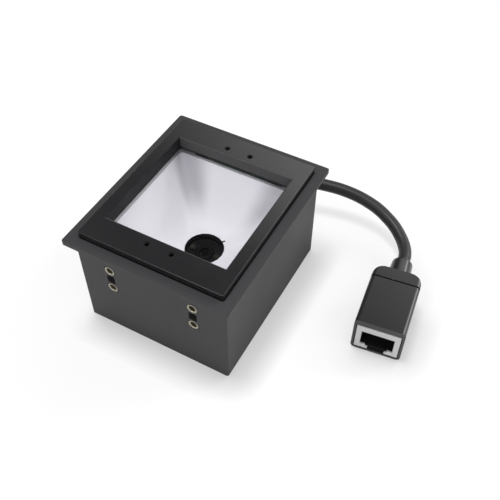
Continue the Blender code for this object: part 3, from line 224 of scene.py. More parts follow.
class Shader(Graph):
    """The node tree of one material."""

    def __init__(self, name: str) -> None:
        """Start an empty material.

        Args:
            name: The material's name.
        """
        self.material = bpy.data.materials.new(name)
        self.material.use_nodes = True
        super().__init__(self.material.node_tree)

    def place(self) -> Signal:
        """Return the point on the object, in metres."""
        return self.signal("ShaderNodeTexCoord", output="Object")

    def axis(self, letter: str) -> Signal:
        """Return one coordinate of the point on the object."""
        return self.signal("ShaderNodeSeparateXYZ", {0: self.place()}, letter)

    def noise(self, size: float, detail: float = 2.0) -> Signal:
        """Return noise whose grains are about that size in metres."""
        inputs = {"Vector": self.place(), "Scale": 1.0 / size, "Detail": detail}
        return self.signal("ShaderNodeTexNoise", inputs, "Fac")

    def mix(self, share: Signal, first: Signal | Colour, second: Signal | Colour) -> Signal:
        """Return a colour between two, the second where the share is 1."""
        inputs = {"Factor": share, 6: opaque(first), 7: opaque(second)}
        return self.signal("ShaderNodeMix", inputs, 2, data_type="RGBA")

    def bump(self, height: Signal, distance: float, strength: float = 0.5) -> Signal:
        """Return a normal that shows a height."""
        inputs = {"Height": height, "Strength": strength, "Distance": distance}
        return self.signal("ShaderNodeBump", inputs, "Normal")

    def principled(self, **inputs) -> Signal:
        """Return a Principled shader with those inputs, named with underscores for spaces."""
        named = {name.replace("_", " "): value for name, value in inputs.items()}
        return self.signal("ShaderNodeBsdfPrincipled", named)

    def blend(self, share: Signal, first: Signal, second: Signal) -> Signal:
        """Return a shader between two, the second where the share is 1."""
        return self.signal("ShaderNodeMixShader", {0: share, 1: first, 2: second})

    def finish(self, surface: Signal) -> bpy.types.Material:
        """Put a shader on the surface and return the material."""
        self.node("ShaderNodeOutputMaterial", {"Surface": surface})
        return self.material

    def surface(self, **inputs) -> bpy.types.Material:
        """Finish the material with a Principled shader."""
        return self.finish(self.principled(**inputs))


def opaque(colour: Signal | Colour) -> Signal | tuple[float, float, float, float]:
    """Return a colour with full alpha."""
    return colour if isinstance(colour, Signal) else (*colour, 1.0)


# Finishes


@dataclass(frozen=True)
class Finish:
    """What a surface looks like.

    Args:
        name: The material's name.
        slot: The record's material slot; not used.
    """

    name: str
    slot: str

    def build(self) -> bpy.types.Material:
        """Return a new material."""
        raise NotImplementedError


@dataclass(frozen=True)
class MouldedPlastic(Finish):
    """Plastic with a fine mould texture.

    Args:
        colour: Linear base colour.
        roughness: Mean roughness.
        grain: Size of the texture's grains in metres.
        relief: Height of the grains in metres.
        specular: Level of the surface reflection.
        uneven: Share by which the colour varies.
        sheen: How far the roughness varies.
    """

    colour: Colour
    roughness: float
    grain: float = 0.0005
    relief: float = 0.00001
    specular: float = 0.5
    uneven: float = 0.06
    sheen: float = 0.03

    def build(self) -> bpy.types.Material:
        """Build the material.

        Returns:
            The new material.
        """
        graph = Shader(self.name)
        grain = graph.noise(self.grain)
        cloud = graph.noise(CLOUD)
        dark = tuple((1.0 - self.uneven) * value for value in self.colour)
        light = tuple((1.0 + self.uneven) * value for value in self.colour)
        return graph.surface(
            Base_Color=graph.mix(cloud, dark, light),
            Roughness=cloud.ranged(*NOISE_MIDDLE, self.roughness - self.sheen, self.roughness + self.sheen),
            Specular_IOR_Level=self.specular,
            Normal=graph.bump(grain, self.relief),
        )


@dataclass(frozen=True)
class WellPlastic(Finish):
    """White plastic of the light well, with painted shade in its upper corners and on the wall of its hole.

    Args:
        colour: Linear base colour.
        shade: Linear colour of the painted shade in the corners.
        roughness: Its roughness.
        reach: Between which shares of X over Y the shade grows on the front and back walls.
        side_reach: Between which shares of Y over X it grows on the side walls.
        level: The heights between which the shade grows, in metres.
        rim: The heights between which the painted shade on the hole's wall gives way, in metres.
        black: Linear colour of the painted shade on the hole's wall.
        grain: Size of the texture's grains in metres.
        relief: Height of the grains in metres.
        sheen: How far the roughness varies.
    """

    colour: Colour
    shade: Colour
    roughness: float
    reach: Range
    side_reach: Range
    level: Range
    rim: Range
    black: Colour = (0.006, 0.006, 0.007)
    grain: float = 0.002
    relief: float = 0.000005
    sheen: float = 0.03

    def build(self) -> bpy.types.Material:
        """Build the material.

        Returns:
            The new material.
        """
        graph = Shader(self.name)
        across, along = graph.axis("X").absolute(), graph.axis("Y").absolute()
        # Painted shade: a mask on the position darkens the well's upper corners.
        corner = (across / along).ramp(*self.reach) * (along / across).ramp(*self.side_reach)
        corner = corner * graph.axis("Z").ramp(*self.level)
        # Painted shade: the wall of the hole is coloured near black.
        hole = graph.axis("Z").ranged(*self.rim, 1.0, 0.0)
        cloud = graph.noise(CLOUD)
        return graph.surface(
            Base_Color=graph.mix(hole, graph.mix(corner, self.colour, self.shade), self.black),
            Roughness=cloud.ranged(*NOISE_MIDDLE, self.roughness - self.sheen, self.roughness + self.sheen),
            Normal=graph.bump(graph.noise(self.grain), self.relief),
        )


@dataclass(frozen=True)
class PolishedPlastic(Finish):
    """Glossy plastic, faintly uneven like a moulded face.

    Args:
        colour: Linear base colour.
        roughness: Mean roughness.
        specular: Level of the surface reflection.
        haze: Size of the dull and bright spots in metres.
        uneven: Share by which the roughness varies.
    """

    colour: Colour
    roughness: float
    specular: float = 0.5
    haze: float = 0.02
    uneven: float = 0.1

    def gloss(self, graph: Shader) -> Signal:
        """Lay out the glossy shader.

        Args:
            graph: The material's node tree.

        Returns:
            The shader.
        """
        low, high = ((1.0 + side * self.uneven) * self.roughness for side in (-1, 1))
        return graph.principled(
            Base_Color=opaque(self.colour),
            Roughness=graph.noise(self.haze, 3.0).ranged(*NOISE_MIDDLE, low, high),
            Specular_IOR_Level=self.specular,
        )

    def build(self) -> bpy.types.Material:
        """Build the material.

        Returns:
            The new material.
        """
        graph = Shader(self.name)
        return graph.finish(self.gloss(graph))


@dataclass(frozen=True)
class FramePlastic(PolishedPlastic):
    """Glossy plastic of the window frame, dull on the walls of its opening and in its ports.

    Args:
        side_wall: Linear base colour of the opening's left and right walls.
        end_wall_painted_light: Linear base colour of its front and back walls, lighter than the frame as
            painted light.
        opening: Half of the square just outside those walls, in metres.
        port: How far a port lies from the middle in X and Y, in metres.
        mouth: Radius just outside a port's mouth, in metres.
        port_painted_shade: Linear base colour in the ports, near black as painted shade.
        dull: Range of the roughness there.
        dull_specular: Level of the surface reflection there.
    """

    side_wall: Colour = BLACK
    end_wall_painted_light: Colour = BLACK
    opening: float = 0.0253
    port: tuple[float, float] = (0.00505, 0.0285)
    mouth: float = 0.00115
    port_painted_shade: Colour = (0.001, 0.001, 0.001)
    dull: Range = (0.5, 0.55)
    dull_specular: float = 0.15

    def build(self) -> bpy.types.Material:
        """Build the material.

        Returns:
            The new material.
        """
        graph = Shader(self.name)
        across, along = graph.axis("X").absolute(), graph.axis("Y").absolute()
        off_port = (across - self.port[0]) ** 2.0 + (along - self.port[1]) ** 2.0 > self.mouth ** 2
        outside = ((across > self.opening) + (along > self.opening)) * off_port
        # Painted light: the opening's front and back walls get a lighter colour than its left and right walls.
        wall = graph.mix(along > across, self.side_wall, self.end_wall_painted_light)
        # Painted shade: the ports get a near-black colour.
        dull = graph.principled(
            Base_Color=graph.mix(off_port, self.port_painted_shade, wall),
            Roughness=graph.noise(self.haze, 3.0).ranged(*NOISE_MIDDLE, *self.dull),
            Specular_IOR_Level=self.dull_specular,
        )
        return graph.finish(graph.blend(outside, dull, self.gloss(graph)))


@dataclass(frozen=True)
class ClearPane(Finish):
    """Clear glass or plastic.

    Args:
        tint: Linear colour of the light that it lets through.
        roughness: Its least roughness.
        index: Its refractive index.
        haze: Size of its dull spots in metres.
        dulling: What they add to the roughness.
    """

    tint: Colour = WHITE
    roughness: float = 0.0
    index: float = 1.5
    haze: float = 0.01
    dulling: float = 0.01

    def build(self) -> bpy.types.Material:
        """Build the material.

        Returns:
            The new material.
        """
        graph = Shader(self.name)
        haze = graph.noise(self.haze)
        return graph.surface(
            Base_Color=opaque(self.tint),
            Roughness=haze.ranged(0.0, 1.0, self.roughness, self.roughness + self.dulling),
            IOR=self.index,
            Transmission_Weight=1.0,
        )


@dataclass(frozen=True)
class ThinPane(Finish):
    """A thin clear sheet, which lets light straight through and mirrors a little.

    Args:
        mirrored: Share of the light that a face mirrors when it is seen straight on.
        polish: Range of the mirror's roughness.
        haze: Size of its dull spots in metres.
    """

    mirrored: float
    polish: Range = (0.01, 0.03)
    haze: float = 0.02

    def build(self) -> bpy.types.Material:
        """Build the material.

        Returns:
            The new material.
        """
        graph = Shader(self.name)
        haze = graph.noise(self.haze).ranged(*NOISE_MIDDLE, *self.polish)
        mirror = graph.principled(Base_Color=opaque(WHITE), Metallic=1.0, Roughness=haze)
        clear = graph.signal("ShaderNodeBsdfTransparent")
        slant = graph.signal("ShaderNodeLayerWeight", {"Blend": 0.5}, "Facing")
        share = slant ** 5.0 * (1.0 - self.mirrored) + self.mirrored
        return graph.finish(graph.blend(share, clear, mirror))


@dataclass(frozen=True)
class PlainMetal(Finish):
    """Metal with fine turning or rolling marks.

    Args:
        colour: Linear colour between the marks.
        roughness: Mean roughness.
        mark: Size of the marks in metres.
        dimming: Share of the colour that is left in a mark.
        contrast: The noise values that give the least and the most roughness.
        spread: How far the roughness goes below and above its mean.
    """

    colour: Colour
    roughness: float
    mark: float = 0.0004
    dimming: float = 0.85
    contrast: Range = (0.2, 0.8)
    spread: Range = (0.05, 0.08)

    def build(self) -> bpy.types.Material:
        """Build the material.

        Returns:
            The new material.
        """
        graph = Shader(self.name)
        marks = graph.noise(self.mark)
        dark = tuple(self.dimming * value for value in self.colour)
        least, most = self.roughness - self.spread[0], self.roughness + self.spread[1]
        return graph.surface(
            Base_Color=graph.mix(marks, dark, self.colour),
            Roughness=marks.ranged(*self.contrast, least, most),
            Metallic=1.0,
        )


@dataclass(frozen=True)
class CircuitBoard(Finish):
    """Green solder mask over fine copper tracks.

    Args:
        mask: Linear colour between the tracks.
        track: Linear colour over a track.
        pitch: From track to track, in metres.
        area: Size of the areas in which the tracks run one way, in metres.
        bare: Height of the wave above which a track lies.
        relief: Height of a track in metres.
        roughness: Its roughness between the tracks.
        gloss: What a track takes from that.
    """

    mask: Colour
    track: Colour
    pitch: float = 0.0012
    area: float = 0.009
    bare: float = 0.55
    relief: float = 0.00003
    roughness: float = 0.42
    gloss: float = 0.08

    def build(self) -> bpy.types.Material:
        """Build the material.

        Returns:
            The new material.
        """
        graph = Shader(self.name)
        rate = 2.0 * math.pi / self.pitch
        turned = graph.noise(self.area) > 0.5
        along = (graph.axis("X") * rate).sine() * (1.0 - turned)
        across = (graph.axis("Y") * rate).sine() * turned
        tracks = (along + across) > self.bare
        return graph.surface(
            Base_Color=graph.mix(tracks, self.mask, self.track),
            Roughness=self.roughness - self.gloss * tracks,
            Normal=graph.bump(tracks, self.relief, 0.4),
        )


HOUSING = MouldedPlastic("black_housing_texture", "housing_plastic", (0.036, 0.0345, 0.0365), 0.5,
                         specular=0.15)
# Painted light: the end_wall_painted_light colour lightens the opening's front and back walls.
FRAME = FramePlastic("gloss_black_frame", "frame_plastic", (0.007, 0.007, 0.008), 0.2, specular=0.75,
                     side_wall=(0.009, 0.009, 0.010), end_wall_painted_light=(0.066, 0.065, 0.066))
RUBBER = MouldedPlastic("black_rubber_matt", "black_rubber", (0.014, 0.014, 0.015), 0.7, specular=0.3)
# Painted shade: the second colour darkens the well's corners, and the hole's wall gets painted black shade.
WELL = WellPlastic("white_diffuser", "white_plastic", (0.69, 0.68, 0.72), (0.41, 0.405, 0.44), 0.55,
                   reach=(0.36, 0.78), side_reach=(0.70, 0.94), level=(0.018, 0.030), rim=(0.0192, 0.0195))
GLASS = ThinPane("window_pane", "clear_glass", mirrored=0.012)
LENS = ClearPane("coated_lens", "clear_glass", tint=(0.6, 0.65, 0.8), index=1.25)
GUIDE = ClearPane("smoked_guide", "clear_glass", tint=(0.5, 0.5, 0.5), roughness=0.2)
CAMERA_BLACK = MouldedPlastic("camera_black", "chip_plastic", (0.005, 0.005, 0.006), 0.6, specular=0.06)
CHIP_BLACK = MouldedPlastic("chip_black", "chip_plastic", (0.02, 0.02, 0.022), 0.45, grain=0.0002)
CREAM = MouldedPlastic("connector_cream", "connector_plastic", (0.72, 0.68, 0.56), 0.45)
LAMP = PolishedPlastic("lamp_phosphor", "lamp_plastic", (0.70, 0.62, 0.20), 0.25)
DARK_LAMP = PolishedPlastic("dark_lamp", "lamp_plastic", (0.018, 0.022, 0.014), 0.2)
RIBBON = PolishedPlastic("amber_ribbon", "ribbon_plastic", (0.42, 0.2, 0.04), 0.3)
JACKET = MouldedPlastic("lead_jacket_satin", "lead_jacket", (0.016, 0.016, 0.017), 0.42, grain=0.0008,
                        specular=0.3)
COUPLER = MouldedPlastic("coupler_satin", "coupler_plastic", (0.016, 0.016, 0.017), 0.18, grain=0.0003,
                         relief=0.000002, specular=0.38)
JACK_GREY = MouldedPlastic("jack_face_grey", "jack_grey", (0.42, 0.42, 0.42), 0.4)
SOCKET_BLACK = MouldedPlastic("socket_black", "chip_plastic", (0.008, 0.008, 0.008), 0.5, specular=0.3)
BRASS = PlainMetal("turned_brass", "insert_brass", (0.34, 0.325, 0.265), 0.38)
THREAD = PlainMetal("dark_thread", "insert_brass", (0.12, 0.10, 0.06), 0.45)
STEEL = PlainMetal("zinc_steel", "screw_steel", (0.6, 0.6, 0.61), 0.3)
TIN = PlainMetal("tinned_pins", "screw_steel", (0.66, 0.66, 0.65), 0.25)
GOLD = PlainMetal("contact_gold", "contact_gold", (0.45, 0.32, 0.12), 0.25)
BOARD = CircuitBoard("green_board", "circuit_board", (0.010, 0.07, 0.03), (0.02, 0.13, 0.05))

LOOKS = {
    Place.HOUSING: HOUSING,
    Place.FRAME: FRAME,
    Place.RUBBER: RUBBER,
    Place.WELL: WELL,
    Place.GLASS: GLASS,
    Place.LENS: LENS,
    Place.GUIDE: GUIDE,
    Place.BOARDS: BOARD,
    Place.CAMERA: CAMERA_BLACK,
    Place.CHIPS: CHIP_BLACK,
    Place.HEADERS: CREAM,
    Place.WELL_LAMPS: DARK_LAMP,
    Place.LAMPS: LAMP,
    Place.RIBBONS: RIBBON,
    Place.BRASS: BRASS,
    Place.LEADS: JACKET,
    Place.COUPLER: COUPLER,
    Place.SHIELD: JACK_GREY,
    Place.SOCKET: SOCKET_BLACK,
    Place.CONTACTS: GOLD,
    Place.SCREWS: STEEL,
}


class Wardrobe:
    """Builds each finish once and puts it on pieces."""

    def __init__(self) -> None:
        """Start with no materials built."""
        self.built: dict[str, bpy.types.Material] = {}

    def material(self, look: Finish) -> bpy.types.Material:
        """Find or build a finish's material.

        Args:
            look: The finish.

        Returns:
            Its one material.
        """
        if look.name not in self.built:
            self.built[look.name] = look.build()
        return self.built[look.name]

    def dress(self, piece: bpy.types.Object, look: Finish) -> None:
        """Give a piece that finish alone."""
        piece.data.materials.clear()
        piece.data.materials.append(self.material(look))

    def dress_nodes(self) -> None:
        """Finish every CAD node."""
        for place, look in LOOKS.items():
            for name in place.value:
                self.dress(NODES[name], look)
        log.info("finished %d solids in %d materials", len(NODES), len(self.built))

    def keep(self, piece: bpy.types.Object) -> None:
        """Let a finished piece ride with the reader.

        Args:
            piece: The new piece.
        """
        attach(piece, "root")
        log.info("added %s", piece.name)

    def add_piece(self, piece: bpy.types.Object, look: Finish) -> None:
        """Finish a new piece and let it ride with the reader."""
        self.dress(piece, look)
        self.keep(piece)


# Edges


@dataclass(frozen=True)
class EdgeBreak:
    """Small rounds on the edges of a moulded piece, which catch the light.

    Args:
        node: The CAD node.
        width: Width of a round in metres.
        segments: Faces across a round.
        angle: The least angle of an edge that gets one.
    """

    node: str
    width: float
    segments: int = 2
    angle: float = math.radians(40)

    def apply(self) -> None:
        """Put the rounds on the node."""
        piece = NODES[self.node]
        weld = piece.modifiers.new("weld", "WELD")
        weld.merge_threshold = WELD
        rounds = piece.modifiers.new("edge_break", "BEVEL")
        rounds.width = self.width
        rounds.segments = self.segments
        rounds.limit_method = "ANGLE"
        rounds.angle_limit = self.angle
        rounds.harden_normals = False
        piece.data.shade_smooth()
        smooth = piece.modifiers.new("faces", "WEIGHTED_NORMAL")
        smooth.keep_sharp = False


EDGES = (
    EdgeBreak("window_frame", 0.0004),
    EdgeBreak("main_housing", 0.00015),
    EdgeBreak("coupler_housing", 0.0003),
    EdgeBreak("coupler_end_cap", 0.0002),
    EdgeBreak("coupler_collar", 0.0002),
    EdgeBreak("cable_boot", 0.0002),
    EdgeBreak("jack_shield", 0.0001),
)


def smooth_facets(angle: float = math.radians(30)) -> None:
    """Shade the other nodes' round faces smoothly and keep their edges sharp.

    Args:
        angle: The least angle of an edge that stays sharp.
    """
    edged = {edge.node for edge in EDGES}
    for name, piece in NODES.items():
        if name in edged or piece.type != "MESH":
            continue
        piece.data.shade_smooth()
        piece.modifiers.new("weld", "WELD").merge_threshold = WELD
        piece.modifiers.new("sharp_edges", "EDGE_SPLIT").split_angle = angle


# Screw recesses


def cross_cutter(name: str, span: float, web: float, low: Vector, high: Vector) -> bpy.types.Object:
    """Make a hidden cross-shaped cutter that stands on the middle of a screw's head.

    Args:
        name: The cutter's name.
        span: Length of the cross's arms from tip to tip.
        web: Width of an arm.
        low: Middle of the cross's underside.
        high: Middle of its top.

    Returns:
        The cutter.
    """
    shape = bmesh.new()
    middle = (low + high) / 2
    height = high.z - low.z
    for size in ((span, web, height), (web, span, height)):
        made = bmesh.ops.create_cube(shape, size=1.0)
        bmesh.ops.scale(shape, vec=size, verts=made["verts"])
    bmesh.ops.translate(shape, vec=middle, verts=shape.verts)
    mesh = bpy.data.meshes.new(name)
    shape.to_mesh(mesh)
    shape.free()
    cutter = bpy.data.objects.new(name, mesh)
    bpy.context.scene.collection.objects.link(cutter)
    cutter.hide_render = True
    cutter.hide_set(True)
    return cutter


def recess_screws(kind: str, head: float, depth: float, up: bool) -> None:
    """Cut a cross into the heads of the four screws of a kind.

    Args:
        kind: What their names start with.
        head: Diameter of a head.
        depth: Depth of the cross.
        up: Whether the heads face upwards.
    """
    for number in range(1, 5):
        name = f"{kind}_screw_{number}"
        low, high = (Vector(corner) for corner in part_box(name))
        middle = (low + high) / 2
        face = high.z if up else low.z
        start = face - (depth if up else OVERRUN)
        end = face + (OVERRUN if up else depth)
        cutter = cross_cutter(f"{name}_cross", CROSS_SPAN * head, CROSS_WEB * head,
                              Vector((middle.x, middle.y, start)), Vector((middle.x, middle.y, end)))
        recess = NODES[name].modifiers.new("cross_recess", "BOOLEAN")
        recess.operation = "DIFFERENCE"
        recess.solver = "EXACT"
        recess.use_self = True
        recess.object = cutter
    log.info("%s screws: cross recess", kind)


# Repeated details


class Recipe(Graph):
    """A geometry node group with named inputs, from which plain meshes are made."""

    def __init__(self, name: str) -> None:
        """Start an empty group.

        Args:
            name: The group's name.
        """
        super().__init__(bpy.data.node_groups.new(name, "GeometryNodeTree"))
        self.keys: dict[str, str] = {}
        self.tree.interface.new_socket("Geometry", in_out="OUTPUT", socket_type="NodeSocketGeometry")
        self.entry = self.tree.nodes.new("NodeGroupInput")

    def given(self, name: str, kind: str = "Float") -> Signal:
        """Add a named input.

        Args:
            name: The input's name.
            kind: Its socket type, without the leading words.

        Returns:
            The input's value in the group.
        """
        socket = self.tree.interface.new_socket(name, in_out="INPUT", socket_type=f"NodeSocket{kind}")
        self.keys[name] = socket.identifier
        return Signal(self, self.entry.outputs[name])

    def result(self, shape: Signal, material: Signal) -> None:
        """Make the shape real, give it the material and hand it out.

        Args:
            shape: The group's geometry.
            material: Its material.
        """
        real = self.signal("GeometryNodeRealizeInstances", {"Geometry": shape})
        dressed = self.signal("GeometryNodeSetMaterial", {"Geometry": real, "Material": material})
        self.node("NodeGroupOutput", {"Geometry": dressed})

    def make(self, name: str, place: Matrix, **values) -> bpy.types.Object:
        """Make a plain mesh with those inputs.

        Args:
            name: The new object's name.
            place: Where the recipe's origin goes.
            values: The inputs by name.

        Returns:
            The object, which keeps no modifier.
        """
        piece = bpy.data.objects.new(name, bpy.data.meshes.new(name))
        bpy.context.scene.collection.objects.link(piece)
        recipe = piece.modifiers.new("recipe", "NODES")
        recipe.node_group = self.tree
        for key, value in values.items():
            recipe[self.keys[key]] = value
        bpy.context.view_layer.update()
        mesh = bpy.data.meshes.new_from_object(piece.evaluated_get(bpy.context.evaluated_depsgraph_get()))
        piece.modifiers.remove(recipe)
        mesh.transform(place)
        piece.data = mesh
        mesh.name = name
        return piece


class Thread(Recipe):
    """Ridges of an inside thread that runs along Y."""

    def __init__(self) -> None:
        """Wind a small triangle along a helix."""
        super().__init__("inside_thread")
        radius, ridge = self.given("Radius"), self.given("Ridge")
        turns, length = self.given("Turns"), self.given("Length")
        material = self.given("Material", "Material")
        helix = self.signal("GeometryNodeCurveSpiral", {
            "Resolution": 20, "Rotations": turns, "Start Radius": radius, "End Radius": radius,
            "Height": length})
        profile = self.signal("GeometryNodeCurvePrimitiveCircle", {"Resolution": 3, "Radius": ridge})
        sweep = self.signal("GeometryNodeCurveToMesh", {
            "Curve": helix, "Profile Curve": profile, "Fill Caps": True})
        turned = self.signal("GeometryNodeTransform", {
            "Geometry": sweep, "Rotation": (math.radians(-90), 0.0, 0.0)})
        self.result(turned, material)


class PinRow(Recipe):
    """A row of equal blocks along X, such as the pins of a chip."""

    def __init__(self) -> None:
        """Put a block on each point of a line."""
        super().__init__("pin_row")
        count, pitch = self.given("Count", "Int"), self.given("Pitch")
        size, material = self.given("Size", "Vector"), self.given("Material", "Material")
        step = self.signal("ShaderNodeCombineXYZ", {"X": pitch})
        first = self.signal("ShaderNodeCombineXYZ", {"X": (count - 1.0) * pitch * -0.5})
        line = self.signal("GeometryNodeMeshLine", {
            "Count": count, "Start Location": first, "Offset": step})
        block = self.signal("GeometryNodeMeshCube", {"Size": size})
        placed = {"Points": line, "Instance": block}
        self.result(self.signal("GeometryNodeInstanceOnPoints", placed), material)


class PartField(Recipe):
    """Small blocks spread over a board, with some places left empty."""

    def __init__(self) -> None:
        """Put a block on a random part of a grid's points."""
        super().__init__("part_field")
        width, depth = self.given("Width"), self.given("Depth")
        columns, rows = self.given("Columns", "Int"), self.given("Rows", "Int")
        size, share = self.given("Size", "Vector"), self.given("Share")
        seed, material = self.given("Seed", "Int"), self.given("Material", "Material")
        grid = self.signal("GeometryNodeMeshGrid", {
            "Size X": width, "Size Y": depth, "Vertices X": columns, "Vertices Y": rows})
        kept = self.signal("FunctionNodeRandomValue", {"Probability": share, "Seed": seed}, 3,
                           data_type="BOOLEAN")
        block = self.signal("GeometryNodeMeshCube", {"Size": size})
        placed = {"Points": grid, "Selection": kept, "Instance": block}
        self.result(self.signal("GeometryNodeInstanceOnPoints", placed), material)


@dataclass(frozen=True)
class InsertThreads:
    """The threads inside the brass inserts of the front wall.

    Args:
        radius: From an insert's axis to the middle of its ridge.
        ridge: Radius of the ridge's triangle.
        pitch: From turn to turn.
        rim: What stays plain at each end.
    """

    radius: float = 0.00138
    ridge: float = 0.00016
    pitch: float = 0.0005
    rim: float = 0.0003

    def build(self, wardrobe: Wardrobe) -> None:
        """Make one thread for each insert.

        Args:
            wardrobe: Where the materials come from.
        """
        recipe = Thread()
        for name in Place.BRASS.value:
            low, high = (Vector(corner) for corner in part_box(name))
            length = high.y - low.y - 2 * self.rim
            place = Matrix.Translation(((low.x + high.x) / 2, low.y + self.rim, (low.z + high.z) / 2))
            piece = recipe.make(f"{name}_thread", place, Radius=self.radius, Ridge=self.ridge,
                                Turns=length / self.pitch, Length=length, Material=wardrobe.material(THREAD))
            wardrobe.keep(piece)


@dataclass(frozen=True)
class BoardParts:
    """Pins and small parts on the decoder board inside the housing.

    Args:
        pin: Size of a pin.
        pin_pitch: From pin to pin.
        edge: What the pins leave free along a chip's side, both ends together.
        solder: Gap between the board and what stands on it.
        row_pitch: From row to row of the small parts.
        column_pitch: From column to column.
        share: Share of their places that are taken.
        resistor: Size of a small part.
        capacitor: Size of a larger one.
    """

    pin: tuple[float, float, float] = (0.00022, 0.0009, 0.0003)
    pin_pitch: float = 0.0005
    edge: float = 0.0016
    solder: float = 0.00005
    row_pitch: float = 0.0020
    column_pitch: float = 0.0030
    share: float = 0.6
    resistor: tuple[float, float, float] = (0.0010, 0.0005, 0.0004)
    capacitor: tuple[float, float, float] = (0.0008, 0.0013, 0.0007)

    def pins(self, recipe: PinRow, wardrobe: Wardrobe, chip: str, sides: tuple[float, ...]) -> None:
        """Put rows of pins round a chip.

        Args:
            recipe: What makes a row.
            wardrobe: Where the materials come from.
            chip: The chip's node.
            sides: The sides with pins, as turns in degrees from the front.
        """
        low, high = (Vector(corner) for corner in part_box(chip))
        middle = (low + high) / 2
        for number, side in enumerate(sides):
            turn = math.radians(side)
            across = side % 180 == 90
            span = (high.y - low.y) if across else (high.x - low.x)
            reach = ((high.x - low.x) if across else (high.y - low.y)) / 2
            count = int((span - self.edge) / self.pin_pitch)
            out = Vector((math.sin(turn), -math.cos(turn), 0.0)) * (reach + self.pin[1] / 2)
            spot = Vector((middle.x, middle.y, self.board_top() + self.pin[2] / 2)) + out
            place = Matrix.Translation(spot) @ Matrix.Rotation(turn, 4, "Z")
            piece = recipe.make(f"{chip}_pins_{number + 1}", place, Count=count, Pitch=self.pin_pitch,
                                Size=self.pin, Material=wardrobe.material(TIN))
            wardrobe.keep(piece)

    def board_top(self) -> float:
        """Return the level at which the parts are soldered."""
        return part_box("decoder_board")[1][2] + self.solder

    def field(self, recipe: PartField, wardrobe: Wardrobe, look: Finish, size: Point,
              middle: tuple[float, float], columns: int, rows: int, seed: int) -> None:
        """Spread small parts round a point of the board.

        Args:
            recipe: What makes the field.
            wardrobe: Where the materials come from.
            look: The parts' finish.
            size: Size of a part.
            middle: The point, in X and Y.
            columns: Places across.
            rows: Places along.
            seed: Which places are taken, and the piece's number.
        """
        place = Matrix.Translation((*middle, self.board_top() + size[2] / 2))
        piece = recipe.make(f"board_parts_{seed}", place, Width=(columns - 1) * self.column_pitch,
                            Depth=(rows - 1) * self.row_pitch, Columns=columns, Rows=rows, Size=size,
                            Share=self.share, Seed=seed, Material=wardrobe.material(look))
        wardrobe.keep(piece)

    def build(self, wardrobe: Wardrobe) -> None:
        """Make all the parts.

        Args:
            wardrobe: Where the materials come from.
        """
        rows, fields = PinRow(), PartField()
        self.pins(rows, wardrobe, "processor", (0.0, 90.0, 180.0, 270.0))
        self.pins(rows, wardrobe, "memory_chip", (0.0, 180.0))
        self.field(fields, wardrobe, CHIP_BLACK, self.resistor, (0.0, 0.0165), 10, 3, 3)
        self.field(fields, wardrobe, CREAM, self.capacitor, (0.0013, 0.0165), 10, 3, 8)
        self.field(fields, wardrobe, CREAM, self.capacitor, (0.0005, -0.0175), 4, 3, 5)


# Lead


@dataclass(frozen=True)
class Lead:
    """The lead from the back wall to the coupler.

    Args:
        route: Points on its centreline, in metres.
        exit: Where it leaves the housing's back wall; not used.
        diameter: Its thickness.
        pieces: The CAD nodes on it; not used.
        steps: Points between two knots of its curve.
        sides: Fineness of its round section.
    """

    route: tuple[Point, ...]
    exit: Point
    diameter: float
    pieces: tuple[str, ...]
    steps: int = 16
    sides: int = 10

    def length(self, curve: bpy.types.Object) -> float:
        """Measure the lead on a copy of its curve that has no thickness.

        Args:
            curve: The lead.

        Returns:
            The length of its centreline in metres.
        """
        thin = curve.copy()
        thin.data = curve.data.copy()
        thin.data.bevel_depth = 0.0
        bpy.context.scene.collection.objects.link(thin)
        bpy.context.view_layer.update()
        mesh = thin.evaluated_get(bpy.context.evaluated_depsgraph_get()).to_mesh()
        points = [vertex.co.copy() for vertex in mesh.vertices]
        bpy.data.objects.remove(thin)
        return sum((second - first).length for first, second in zip(points, points[1:]))

    def build(self, wardrobe: Wardrobe) -> bpy.types.Object:
        """Make the lead as one smooth cord and return it.

        Args:
            wardrobe: Where the materials come from.

        Returns:
            The lead.
        """
        data = bpy.data.curves.new("lead", "CURVE")
        data.dimensions = "3D"
        data.resolution_u = self.steps
        data.bevel_depth = self.diameter / 2
        data.bevel_resolution = self.sides
        data.use_fill_caps = True
        spline = data.splines.new("BEZIER")
        spline.bezier_points.add(len(self.route) - 1)
        for knot, place in zip(spline.bezier_points, self.route):
            knot.co = place
            knot.handle_left_type = "AUTO"
            knot.handle_right_type = "AUTO"
        piece = bpy.data.objects.new("lead", data)
        bpy.context.scene.collection.objects.link(piece)
        wardrobe.add_piece(piece, JACKET)
        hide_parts("cable")
        length = self.length(piece)
        log.info("lead: %.1f mm long, %.1f mm thick", 1000 * length, 1000 * self.diameter)
        return piece


LEAD = Lead(
    route=(
        (0.0090, 0.0335, 0.0165), (0.0090, 0.0370, 0.0165), (0.0090, 0.0405, 0.0165), (0.0091, 0.0448, 0.0165),
        (0.0104, 0.0493, 0.0165), (0.0131, 0.0532, 0.0165), (0.0170, 0.0562, 0.0165), (0.0217, 0.0582, 0.0164),
        (0.0267, 0.0595, 0.0162), (0.0317, 0.0605, 0.0159), (0.0367, 0.0611, 0.0154), (0.0417, 0.0613, 0.0147),
        (0.0466, 0.0610, 0.0138), (0.0513, 0.0602, 0.0128), (0.0558, 0.0587, 0.0116), (0.0602, 0.0565, 0.0105),
        (0.0641, 0.0535, 0.0095), (0.0674, 0.0499, 0.0087), (0.0697, 0.0456, 0.0083), (0.07048, 0.0412, 0.0081),
        (0.07102, 0.0370, 0.0081), (0.07147, 0.0335, 0.0081),
    ),
    exit=(0.0090, 0.0365, 0.0165),
    diameter=0.0053,
    pieces=("cable_boot", "coupler_housing", "coupler_end_cap", "coupler_collar", "jack_shield",
            "jack_insulator", "jack_contacts", "jack_terminals"),
)


# Studio


